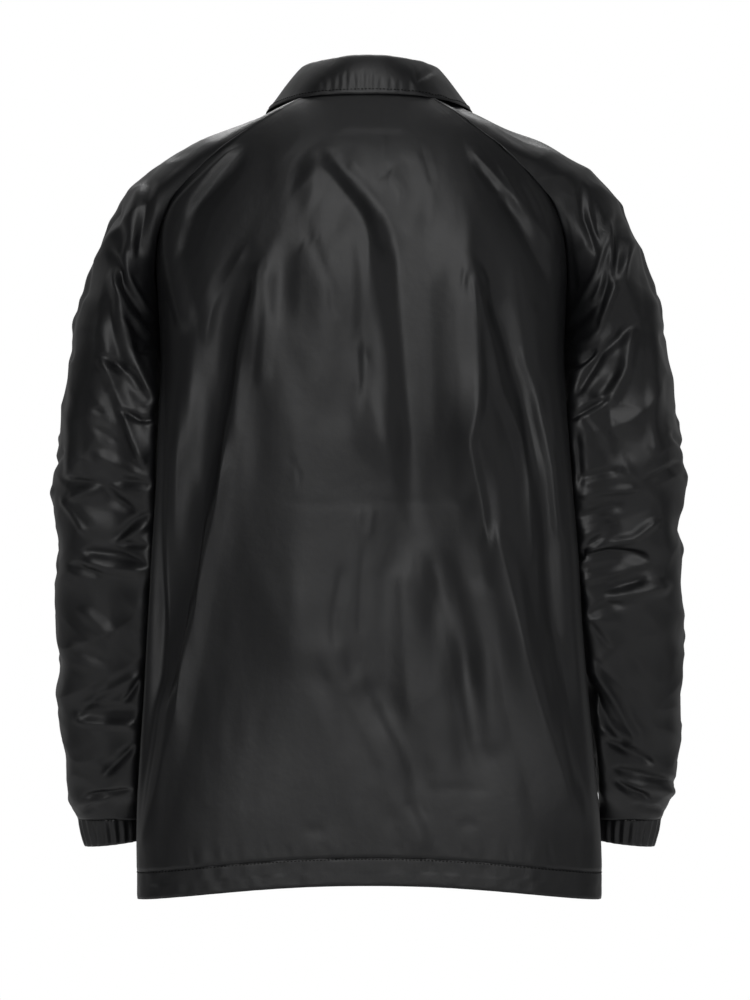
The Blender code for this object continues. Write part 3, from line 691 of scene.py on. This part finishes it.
for side in ("left", "right"):
    panel = Panel("front_" + side, levels=3, passes=12)
    panel.shape(BACK_FOLDS, FRONT_FOLDS, held_above=HEM_TOP)
    cloth = panel.finish("front_" + side + "_cloth", black_nylon, NYLON)
    rows = []
    if side == "left":
        lapped = panel.surface()
        rows = [stitched(panel, "front_edge_stitches", into_left, EDGE_INSET)]
    panel = Panel("hem_front_" + side, levels=3, passes=6)
    panel.shape(BACK_FOLDS, FRONT_FOLDS, held_above=NO_EDGES, pucker=0.0008)
    cloth = panel.finish("hem_front_" + side + "_cloth", black_nylon, NYLON)
    rows = [stitched(panel, "hem_front_" + side + "_stitches", into_hem, STITCH_INSET)]

# The snaps: five press studs down the front, of enamelled metal, each cap set through both layers of the
# left front. A cap has a rolled rim round a shallow dish.
SNAPS = ["snap_%d" % number for number in range(1, 6)]
CAP_STEPS = 40
CAP_RADIUS = 0.0064
CAP_HEIGHT = 0.0024
CAP_SUNK = 0.0003
# The cap's outline from its underside round the rim to the dish: shares of its radius and of its height.
CAP_OUTLINE = [
    (0.0, 0.0), (0.92, 0.0), (0.98, 0.08), (1.0, 0.2), (1.0, 0.6), (0.98, 0.8), (0.93, 0.94), (0.86, 1.0),
    (0.79, 0.97), (0.72, 0.85), (0.66, 0.76), (0.5, 0.72), (0.25, 0.76), (0.0, 0.78),
]


def cap_mesh():
    form = bmesh.new()
    outline = [form.verts.new((across * CAP_RADIUS, 0, up * CAP_HEIGHT)) for across, up in CAP_OUTLINE]
    edges = [form.edges.new(pair) for pair in zip(outline[:-1], outline[1:])]
    bmesh.ops.spin(
        form, geom=outline + edges, cent=(0, 0, 0), axis=(0, 0, 1), angle=math.tau, steps=CAP_STEPS,
        use_merge=True,
    )
    bmesh.ops.remove_doubles(form, verts=form.verts, dist=MERGE)
    bmesh.ops.recalc_face_normals(form, faces=form.faces)
    mesh = bpy.data.meshes.new("snap_cap")
    form.to_mesh(mesh)
    form.free()
    mesh.polygons.foreach_set("use_smooth", [True] * len(mesh.polygons))
    return mesh


def cap_nodes():
    """Geometry nodes that set a copy of a cap on each point, along the point's own axis."""
    tree, given, result = node_tree(
        "snap_caps", "GeometryNodeTree",
        [("Geometry", "Geometry"), ("Cap", "Object"), ("Material", "Material")],
        [("Geometry", "Geometry")],
    )
    cap = new_node(tree, "GeometryNodeObjectInfo")
    facing = new_node(tree, "GeometryNodeInputNamedAttribute")
    facing.data_type = "FLOAT_VECTOR"
    facing.inputs["Name"].default_value = "axis"
    turn = new_node(tree, "FunctionNodeAlignRotationToVector")
    turn.axis = "Z"
    placed = new_node(tree, "GeometryNodeInstanceOnPoints")
    whole = new_node(tree, "GeometryNodeRealizeInstances")
    coated = new_node(tree, "GeometryNodeSetMaterial")
    wire(
        tree,
        (given, "Cap", cap, "Object"),
        (given, "Geometry", placed, "Points"),
        (cap, "Geometry", placed, "Instance"),
        (facing, "Attribute", turn, "Vector"),
        (turn, "Rotation", placed, "Rotation"),
        (placed, "Instances", whole, "Geometry"),
        (whole, "Geometry", coated, "Geometry"),
        (given, "Material", coated, "Material"),
        (coated, "Geometry", result, "Geometry"),
    )
    return tree


ENAMEL_DARK = (0.010, 0.010, 0.011, 1)
ENAMEL_PALE = (0.030, 0.030, 0.033, 1)
ENAMEL_COAT = 0.4
ENAMEL_GLOSSY = 0.2
ENAMEL_DULL = 0.45
RUB_SCALE = 420.0
RUB_DETAIL = 4.0


def black_enamel():
    """Glossy black enamel, rubbed duller in small patches."""
    made = bpy.data.materials.new("black_enamel")
    made.use_nodes = True
    tree = made.node_tree
    shader = tree.nodes["Principled BSDF"]
    shader.inputs["Metallic"].default_value = 0.0
    shader.inputs["Coat Weight"].default_value = ENAMEL_COAT
    place = new_node(tree, "ShaderNodeTexCoord")
    rub = new_node(tree, "ShaderNodeTexNoise", Scale=RUB_SCALE, Detail=RUB_DETAIL)
    tone = new_node(tree, "ShaderNodeValToRGB")
    tone.color_ramp.elements[0].color = ENAMEL_DARK
    tone.color_ramp.elements[1].color = ENAMEL_PALE
    dull = new_node(tree, "ShaderNodeMapRange", To_Min=ENAMEL_GLOSSY, To_Max=ENAMEL_DULL)
    wire(
        tree,
        (place, "Object", rub, "Vector"),
        (rub, "Fac", tone, "Fac"),
        (rub, "Fac", dull, "Value"),
        (tone, "Color", shader, "Base Color"),
        (dull, "Result", shader, "Roughness"),
    )
    return made


centres, axes = [], []
for node in SNAPS:
    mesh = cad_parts[node].data
    points = np.zeros(len(mesh.vertices) * 3)
    mesh.vertices.foreach_get("co", points)
    points = np.unique(points.reshape(-1, 3).round(6), axis=0)
    middle = (points.min(axis=0) + points.max(axis=0)) / 2
    _, _, ways = np.linalg.svd(points - points.mean(axis=0))
    axis = ways[2] * (-1 if ways[2][1] > 0 else 1)
    base, _, _, _ = lapped.find_nearest(middle + axis * ((points - middle) @ axis).min())
    centres.append(np.array(base) - axis * CAP_SUNK)
    axes.append(axis)
snap_points = bpy.data.meshes.new("snap_places")
snap_points.from_pydata([centre.tolist() for centre in centres], [], [])
snap_axes = snap_points.attributes.new("axis", "FLOAT_VECTOR", "POINT")
snap_axes.data.foreach_set("vector", np.array(axes).ravel())
cap_form = bpy.data.objects.new("snap_cap", cap_mesh())
bpy.context.scene.collection.objects.link(cap_form)
snap_caps = grown("snap_caps", snap_points, cap_nodes(), {"Cap": cap_form, "Material": black_enamel()})
bpy.data.objects.remove(cap_form)
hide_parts(*SNAPS)

# The sleeves: raglan sleeves of the same nylon, each a tube sewn to the back and front along its slants.
# They crumple in short cross folds, most under the shoulder, at the elbow and above the cuff.
LEFT_FOLDS = [
    # The shoulder and the underarm.
    Fold(-1.8, 9, 12, 0.5, ((147, 168), (145, 200), (143, 229), (140, 262))),
    Fold(1.4, 12, 8, 0.4, ((136, 178), (131, 215), (129, 252))),
    Fold(-1.5, 9, 9, 0.4, ((113, 198), (116, 225), (119, 250))),
    Fold(-1.3, 5, 5, 0.9, ((115, 238), (132, 275), (160, 318))),
    Fold(1.9, 6, 6, 0.9, ((118, 241), (136, 288), (161, 334))),
    Fold(-2.8, 8, 7, 0.8, ((104, 245), (123, 279), (139, 307), (161, 338))),
    Fold(1.8, 7, 7, 0.8, ((110, 272), (132, 316), (161, 344))),
    Fold(-1.4, 6, 6, 0.7, ((120, 312), (136, 328), (153, 344))),
    Fold(2.4, 12, 9, 0.8, ((109, 262), (125, 325), (136, 362), (157, 414))),
    Fold(-2.0, 14, 9, 0.3, ((104, 290), (114, 335), (124, 376))),
    Fold(-2.6, 6, 6, 0.8, ((130, 345), (146, 349), (162, 350))),
    Fold(1.8, 10, 14, 0.4, ((84, 290), (76, 355), (70, 412), (69, 490))),
    # Above the elbow.
    Fold(-2.2, 9, 7, 0.7, ((94, 352), (116, 364), (132, 376), (156, 408))),
    Fold(2.0, 9, 12, 0.6, ((98, 350), (116, 392), (125, 419), (144, 468))),
    Fold(-2.6, 6, 6, 0.8, ((117, 408), (139, 419), (162, 419))),
    Fold(1.4, 6, 6, 0.8, ((123, 411), (132, 440), (147, 473))),
    Fold(-0.7, 5, 5, 0.8, ((88, 408), (97, 410), (106, 415))),
    Fold(-0.7, 5, 5, 0.8, ((91, 425), (105, 434), (120, 445))),
    Fold(1.4, 10, 10, 0.4, ((90, 451), (115, 465), (144, 477))),
    Fold(-1.9, 8, 8, 0.5, ((108, 482), (134, 483), (158, 486))),
    Fold(-2.0, 8, 8, 0.6, ((57, 479), (85, 483), (104, 486), (113, 500), (138, 517))),
    Fold(1.6, 8, 8, 0.5, ((62, 500), (85, 492), (106, 485))),
    # The elbow.
    Fold(1.3, 6, 6, 0.8, ((57, 493), (72, 517), (88, 541))),
    Fold(-2.0, 7, 7, 0.7, ((110, 544), (134, 521), (154, 513))),
    Fold(1.6, 7, 7, 0.6, ((115, 543), (133, 533), (152, 524))),
    Fold(-1.8, 6, 6, 0.7, ((114, 544), (133, 545), (153, 546))),
    Fold(-2.0, 7, 7, 0.7, ((78, 551), (116, 555), (150, 568))),
    Fold(2.2, 12, 10, 0.5, ((78, 560), (108, 568), (148, 571))),
    Fold(-1.6, 8, 8, 0.6, ((61, 564), (84, 571), (106, 579))),
    # Below the elbow.
    Fold(1.0, 10, 10, 0.3, ((72, 608), (96, 622), (118, 640))),
    Fold(-0.9, 9, 9, 0.4, ((64, 646), (86, 652), (108, 664))),
    Fold(1.4, 8, 8, 0.7, ((94, 699), (118, 686), (142, 674))),
    Fold(1.4, 8, 8, 0.7, ((103, 691), (86, 706), (68, 724))),
    Fold(-1.8, 14, 10, 0.3, ((70, 712), (104, 712), (140, 711))),
    Fold(-2.4, 6, 6, 0.8, ((141, 678), (130, 693), (119, 708))),
    Fold(1.5, 7, 7, 0.6, ((69, 722), (104, 725), (140, 725))),
    Fold(-2.4, 7, 7, 0.8, ((138, 742), (120, 759), (100, 779))),
    Fold(-2.2, 6, 6, 0.7, ((79, 800), (104, 794), (136, 791))),
    Fold(1.4, 6, 6, 0.8, ((82, 808), (98, 802), (115, 795))),
    Fold(-1.4, 6, 6, 0.7, ((79, 816), (90, 808), (102, 801))),
]
RIGHT_FOLDS = [
    # The shoulder and the underarm.
    Fold(-1.6, 6, 6, 0.6, ((562, 212), (568, 252), (574, 295))),
    Fold(-1.8, 8, 8, 0.6, ((583, 178), (585, 220), (597, 258))),
    Fold(-1.4, 6, 8, 0.6, ((595, 197), (598, 220), (601, 243))),
    Fold(1.2, 6, 6, 0.6, ((611, 214), (612, 250), (610, 286))),
    Fold(-2.0, 8, 8, 0.5, ((619, 208), (620, 245), (617, 290))),
    Fold(1.2, 6, 6, 0.6, ((629, 214), (629, 248), (625, 286))),
    Fold(1.8, 7, 7, 0.7, ((637, 234), (617, 282), (597, 333))),
    Fold(-1.8, 7, 7, 0.7, ((614, 258), (606, 285), (596, 318))),
    Fold(1.1, 5, 5, 0.9, ((612, 229), (594, 275), (563, 336))),
    Fold(1.2, 5, 5, 0.9, ((606, 273), (588, 312), (563, 353))),
    Fold(-2.8, 6, 7, 0.8, ((600, 294), (583, 318), (563, 342))),
    Fold(1.4, 6, 6, 0.6, ((604, 326), (588, 340), (568, 350))),
    Fold(-2.8, 6, 6, 0.8, ((600, 346), (583, 359), (562, 371))),
    Fold(1.6, 10, 14, 0.4, ((650, 240), (657, 330), (655, 460))),
    # Above the elbow.
    Fold(-2.4, 7, 9, 0.8, ((640, 320), (601, 353), (573, 398))),
    Fold(2.0, 10, 12, 0.5, ((634, 320), (626, 367), (606, 408))),
    Fold(-1.0, 10, 8, 0.3, ((622, 366), (606, 384), (590, 401))),
    Fold(-2.6, 6, 6, 0.8, ((611, 396), (588, 409), (562, 422))),
    Fold(-0.9, 4, 4, 1.0, ((607, 393), (615, 445), (624, 474), (648, 493))),
    Fold(-0.9, 4, 4, 1.0, ((579, 409), (590, 425), (600, 441))),
    Fold(-1.8, 9, 9, 0.4, ((576, 425), (578, 460), (580, 495))),
    Fold(1.6, 12, 10, 0.4, ((602, 430), (618, 456), (635, 486))),
    Fold(-2.0, 8, 8, 0.6, ((689, 459), (664, 474), (640, 484))),
    Fold(-1.8, 7, 7, 0.6, ((625, 470), (600, 474), (575, 481))),
    Fold(1.5, 7, 7, 0.5, ((645, 488), (608, 492), (573, 497))),
    # The elbow.
    Fold(-1.9, 8, 8, 0.6, ((628, 505), (600, 511), (571, 521))),
    Fold(1.6, 9, 9, 0.4, ((621, 522), (597, 530), (573, 538))),
    Fold(-2.4, 7, 7, 0.6, ((608, 533), (590, 545), (571, 565))),
    Fold(2.2, 8, 8, 0.7, ((665, 517), (636, 539), (606, 544))),
    Fold(-2.8, 8, 7, 0.8, ((655, 563), (611, 555), (570, 561))),
    Fold(1.9, 8, 8, 0.6, ((655, 560), (611, 575), (571, 583))),
    Fold(-1.0, 4, 4, 0.8, ((594, 564), (585, 568), (576, 566))),
    Fold(-1.8, 7, 7, 0.6, ((650, 577), (628, 585), (604, 594))),
    Fold(2.2, 12, 12, 0.4, ((676, 584), (640, 592), (604, 598))),
    Fold(-1.8, 8, 8, 0.5, ((628, 601), (606, 608), (583, 618))),
    # Below the elbow.
    Fold(-0.9, 5, 5, 0.8, ((587, 619), (600, 636), (615, 654))),
    Fold(-0.9, 5, 5, 0.8, ((591, 656), (608, 673), (628, 692))),
    Fold(2.0, 9, 8, 0.7, ((592, 669), (615, 702), (641, 751))),
    Fold(-1.8, 8, 6, 0.6, ((586, 683), (606, 715), (630, 754))),
    Fold(1.4, 7, 7, 0.5, ((596, 727), (618, 738), (643, 749))),
    Fold(-2.0, 7, 7, 0.7, ((604, 739), (630, 752), (658, 766))),
    Fold(-2.2, 7, 7, 0.7, ((611, 768), (648, 777), (687, 785))),
    Fold(1.8, 9, 8, 0.5, ((620, 782), (652, 789), (684, 794))),
    Fold(-2.4, 7, 7, 0.8, ((612, 779), (634, 792), (656, 804))),
    Fold(-1.6, 6, 6, 0.6, ((628, 804), (650, 809), (672, 814))),
]
# The outer side of a sleeve, in pixels of a view from the side with the front to the left.
SIDE_FOLDS = [
    Fold(1.2, 12, 12, 0.4, ((332, 190), (348, 250), (350, 330))),
    Fold(-1.0, 12, 12, 0.3, ((402, 200), (395, 262), (412, 322))),
    Fold(1.3, 14, 10, 0.6, ((298, 262), (340, 300), (402, 332))),
    Fold(-1.3, 10, 12, 0.5, ((308, 304), (360, 345), (430, 361))),
    Fold(-0.8, 14, 14, 0.2, ((345, 366), (330, 402), (352, 432))),
    Fold(1.2, 10, 10, 0.6, ((290, 420), (332, 441), (392, 436))),
    Fold(-1.5, 9, 9, 0.7, ((284, 452), (330, 470), (400, 463), (438, 449))),
    Fold(1.4, 10, 10, 0.6, ((290, 488), (340, 505), (410, 489))),
    Fold(-1.2, 8, 10, 0.7, ((284, 531), (330, 522), (388, 541))),
    Fold(1.1, 10, 9, 0.5, ((291, 561), (350, 548), (398, 571))),
    Fold(-1.1, 9, 9, 0.6, ((281, 602), (330, 590), (378, 613))),
    Fold(1.0, 10, 10, 0.4, ((290, 641), (320, 660), (368, 650))),
    Fold(-1.2, 9, 9, 0.6, ((282, 699), (320, 690), (358, 712))),
    Fold(1.1, 8, 8, 0.6, ((285, 739), (320, 752), (350, 738))),
    Fold(-1.2, 8, 8, 0.7, ((284, 777), (315, 770), (346, 786))),
    Fold(0.8, 7, 7, 0.6, ((290, 801), (318, 808), (344, 800))),
]


def lowered(folds, drop):
    """The same folds further down, so that the two sleeves don't crease alike."""
    return [fold._replace(line=tuple((across, down + drop) for across, down in fold.line)) for fold in folds]


def mirrored(folds):
    """The same folds on the other side of the jacket, for the side of a sleeve that the photo leaves out."""
    turned = []
    for fold in folds:
        line = tuple((2 * NECK_PIXEL[0] - across, down) for across, down in fold.line)
        turned.append(Fold(fold.height, fold.right, fold.left, fold.edge, line))
    return turned


# The roundness of a sleeve's corners, as powers of a squared-off circle, and where the one beside the back
# is pressed square.
ROUND = 2.7
PRESSED = 9.0
SLEEVE_TOP = -0.22
UNDERARM = -0.205
UNDERARM_FADE = 0.07
CUFF_SEAM = -0.648
CUFF_FADE = 0.03
RING_STEP = 0.012
RING_REACH = 0.008
CORNER_FADE = 0.1
REAR_SHIFT = 0.012
REAR_FADE = 0.8
TINY = 0.0001


def flatten_beside_back(panel, side):
    """Squares the rounded corner of a sleeve that lies beside the back, and moves it a little rearwards."""
    across = panel.points[:, 0] * side
    deep = panel.points[:, 1]
    here = panel.points[:, 2]
    levels = np.arange(CUFF_SEAM, SLEEVE_TOP, RING_STEP)
    rings = [np.abs(here - level) < RING_REACH for level in levels]
    inner = np.interp(here, levels, [across[ring].min() for ring in rings])
    outer = np.interp(here, levels, [across[ring].max() for ring in rings])
    front = np.interp(here, levels, [deep[ring].min() for ring in rings])
    back = np.interp(here, levels, [deep[ring].max() for ring in rings])
    half_width = (outer - inner) / 2
    half_depth = (back - front) / 2
    inward = np.maximum(((inner + outer) / 2 - across) / half_width, TINY)
    rearward = np.maximum((deep - (front + back) / 2) / half_depth, TINY)
    was = (inward ** ROUND + rearward ** ROUND) ** (1 / ROUND)
    wanted = (inward ** PRESSED + rearward ** PRESSED) ** (1 / PRESSED)
    weight = ease((UNDERARM - here) / UNDERARM_FADE) * ease((here - CUFF_SEAM) / CUFF_FADE)
    weight *= ease(inward / CORNER_FADE) * ease(rearward / CORNER_FADE)
    move = (was / wanted - 1) * weight
    shift = REAR_SHIFT * weight * ease((inward - CORNER_FADE) / REAR_FADE) * ease(rearward)
    panel.points[:, 0] -= side * inward * half_width * move
    panel.points[:, 1] += rearward * half_depth * move + shift


for side, sign, seen, unseen, drop in (
    ("left", 1, LEFT_FOLDS, RIGHT_FOLDS, 0), ("right", -1, RIGHT_FOLDS, LEFT_FOLDS, -16)
):
    panel = Panel("sleeve_" + side, levels=3, passes=12, split="upright")
    flatten_beside_back(panel, sign)
    panel.shape(seen, mirrored(unseen), lowered(SIDE_FOLDS, drop), wrap=0.22, strength=1.8, crumple=0.0065,
                soften=2)
    cloth = panel.finish("sleeve_" + side + "_cloth", black_nylon, NYLON, lined=False)

# The cuffs: bands of the same nylon gathered on elastic, sewn to the ends of the sleeves.
for side in ("left", "right"):
    panel = Panel("cuff_" + side, levels=3, passes=1)
    panel.shape([], [], pucker=0.0004, ripple=0.0003)
    cloth = panel.finish("cuff_" + side + "_cloth", black_nylon, NYLON)
    rows = [stitched(panel, "cuff_" + side + "_stitches", into_hem, STITCH_INSET)]

# The collar: a stand sewn to the neck edge and a fall that turns down over it, two layers of the same
# nylon. The fall is topstitched along its edge, and short gathers rise from the stitches at the back.
FALL_FOLD = 0.028
FALL_CLOSER = 0.0025
FALL_INSIDE = 0.070
FALL_STEEP = -0.4
COLLAR_FOLDS = [
    Fold(-0.4, 4, 4, 0.5, ((322, 77), (323, 85), (322, 93))),
    Fold(-0.3, 4, 4, 0.5, ((331, 75), (331, 84), (330, 94))),
    Fold(-0.5, 4, 4, 0.5, ((339, 72), (339, 82), (338, 94))),
    Fold(-0.4, 4, 4, 0.5, ((347, 66), (346, 80), (346, 95))),
    Fold(-0.5, 4, 4, 0.5, ((354, 69), (354, 82), (355, 95))),
    Fold(-0.4, 4, 4, 0.5, ((362, 66), (363, 80), (362, 95))),
    Fold(-0.5, 4, 4, 0.5, ((372, 68), (371, 82), (372, 95))),
    Fold(-0.3, 4, 4, 0.5, ((381, 74), (381, 84), (380, 95))),
    Fold(-0.4, 4, 4, 0.5, ((390, 75), (391, 84), (390, 95))),
    Fold(-0.3, 4, 4, 0.5, ((399, 77), (399, 86), (400, 96))),
    Fold(-0.4, 4, 4, 0.5, ((409, 78), (410, 86), (409, 96))),
    Fold(-0.3, 4, 4, 0.5, ((421, 79), (421, 87), (420, 97))),
    Fold(-1.4, 6, 6, 0.9, ((441, 65), (428, 73), (414, 82))),
    Fold(-1.0, 5, 5, 0.9, ((414, 62), (417, 78), (421, 92))),
]


def into_fall(way):
    return way[2] > FALL_STEEP


panel = Panel("collar_stand", levels=2, passes=6)
panel.shape([], [], pucker=0.0002, ripple=0.0002)
cloth = panel.finish("collar_stand_cloth", black_nylon, NYLON)
panel = Panel("collar_fall", levels=3, passes=8)
turned = ease((FALL_FOLD - panel.points[:, 2]) / FALL_FOLD)
panel.points -= panel.normals() * (FALL_CLOSER * turned)[:, None]
panel.shape(COLLAR_FOLDS, [], held_above=NO_EDGES, pucker=0.0004, ripple=0.0003)
cloth = panel.finish("collar_fall_cloth", black_nylon, NYLON)
rows = [stitched(panel, "collar_stitches", into_fall, EDGE_INSET, beyond=FALL_INSIDE)]

# The studio: a pale floor, white surroundings that throw more light from the front than from behind, and
# soft lamps on both sides of the jacket.
FLOOR_DROP = 1.45
FLOOR_RADIUS = 4.4
FLOOR_STEPS = 96
FLOOR_PALE = (0.8, 0.8, 0.8, 1)
FLOOR_ROUGHNESS = 0.7
FLOOR_GLOW = 0.4
WHITE = (1, 1, 1, 1)


def pale_floor():
    """A matt pale floor, which looks as bright as its surroundings and throws little light up."""
    made = bpy.data.materials.new("pale_floor")
    made.use_nodes = True
    tree = made.node_tree
    shader = tree.nodes["Principled BSDF"]
    shader.inputs["Base Color"].default_value = FLOOR_PALE
    shader.inputs["Roughness"].default_value = FLOOR_ROUGHNESS
    shader.inputs["Emission Color"].default_value = WHITE
    path = new_node(tree, "ShaderNodeLightPath")
    glow = new_node(tree, "ShaderNodeMath")
    glow.operation = "MULTIPLY"
    glow.inputs[1].default_value = FLOOR_GLOW
    wire(tree, (path, "Is Camera Ray", glow, 0), (glow, 0, shader, "Emission Strength"))
    return made


disc = bmesh.new()
bmesh.ops.create_circle(disc, cap_ends=True, segments=FLOOR_STEPS, radius=FLOOR_RADIUS)
floor_mesh = bpy.data.meshes.new("floor")
disc.to_mesh(floor_mesh)
disc.free()
floor = bpy.data.objects.new("floor", floor_mesh)
floor.location.z = -FLOOR_DROP
floor_mesh.materials.append(pale_floor())
bpy.context.scene.collection.objects.link(floor)

# How the surroundings light the jacket in front and behind, and where one fades into the other.
LIT_FRONT = 0.3
LIT_BACK = 0.04
FADE_FRONT = -0.45
FADE_BACK = 0.25

world = bpy.data.worlds.new("studio")
world.use_nodes = True
bpy.context.scene.world = world
tree = world.node_tree
tree.nodes.clear()
coordinate = new_node(tree, "ShaderNodeTexCoord")
parts = new_node(tree, "ShaderNodeSeparateXYZ")
ramp = new_node(
    tree, "ShaderNodeMapRange", From_Min=FADE_FRONT, From_Max=FADE_BACK, To_Min=LIT_FRONT, To_Max=LIT_BACK
)
path = new_node(tree, "ShaderNodeLightPath")
pick = new_node(tree, "ShaderNodeMix", B=1.0)
glow = new_node(tree, "ShaderNodeBackground", Color=WHITE)
out = new_node(tree, "ShaderNodeOutputWorld")
wire(
    tree,
    (coordinate, "Generated", parts, "Vector"),
    (parts, "Y", ramp, "Value"),
    (path, "Is Camera Ray", pick, "Factor"),
    (ramp, "Result", pick, "A"),
    (pick, "Result", glow, "Strength"),
    (glow, "Background", out, "Surface"),
)

AIM = Vector((0, 0, -0.3))
Lamp = namedtuple("Lamp", "name x y z width height power")
LAMPS = [
    Lamp("key_behind", 0.0, 3.4, 1.1, 1.6, 3.0, 54),
    Lamp("left_behind", 2.6, 1.8, 0.2, 1.2, 1.8, 1.2),
    Lamp("right_behind", -2.6, 1.8, 0.2, 1.2, 1.8, 5.0),
    Lamp("top", 0.0, 0.4, 2.4, 1.6, 1.6, 4),
    Lamp("key_front", 0.1, -2.4, 2.6, 1.6, 3.0, 90),
]
bpy.context.scene.view_settings.view_transform = "Standard"
for lamp in LAMPS:
    light = bpy.data.lights.new(lamp.name, "AREA")
    light.shape = "RECTANGLE"
    light.size = lamp.width
    light.size_y = lamp.height
    light.energy = lamp.power
    made = bpy.data.objects.new(lamp.name, light)
    made.location = (lamp.x, lamp.y, lamp.z)
    aim = AIM - made.location
    made.rotation_euler = aim.to_track_quat("-Z", "Y").to_euler()
    bpy.context.scene.collection.objects.link(made)
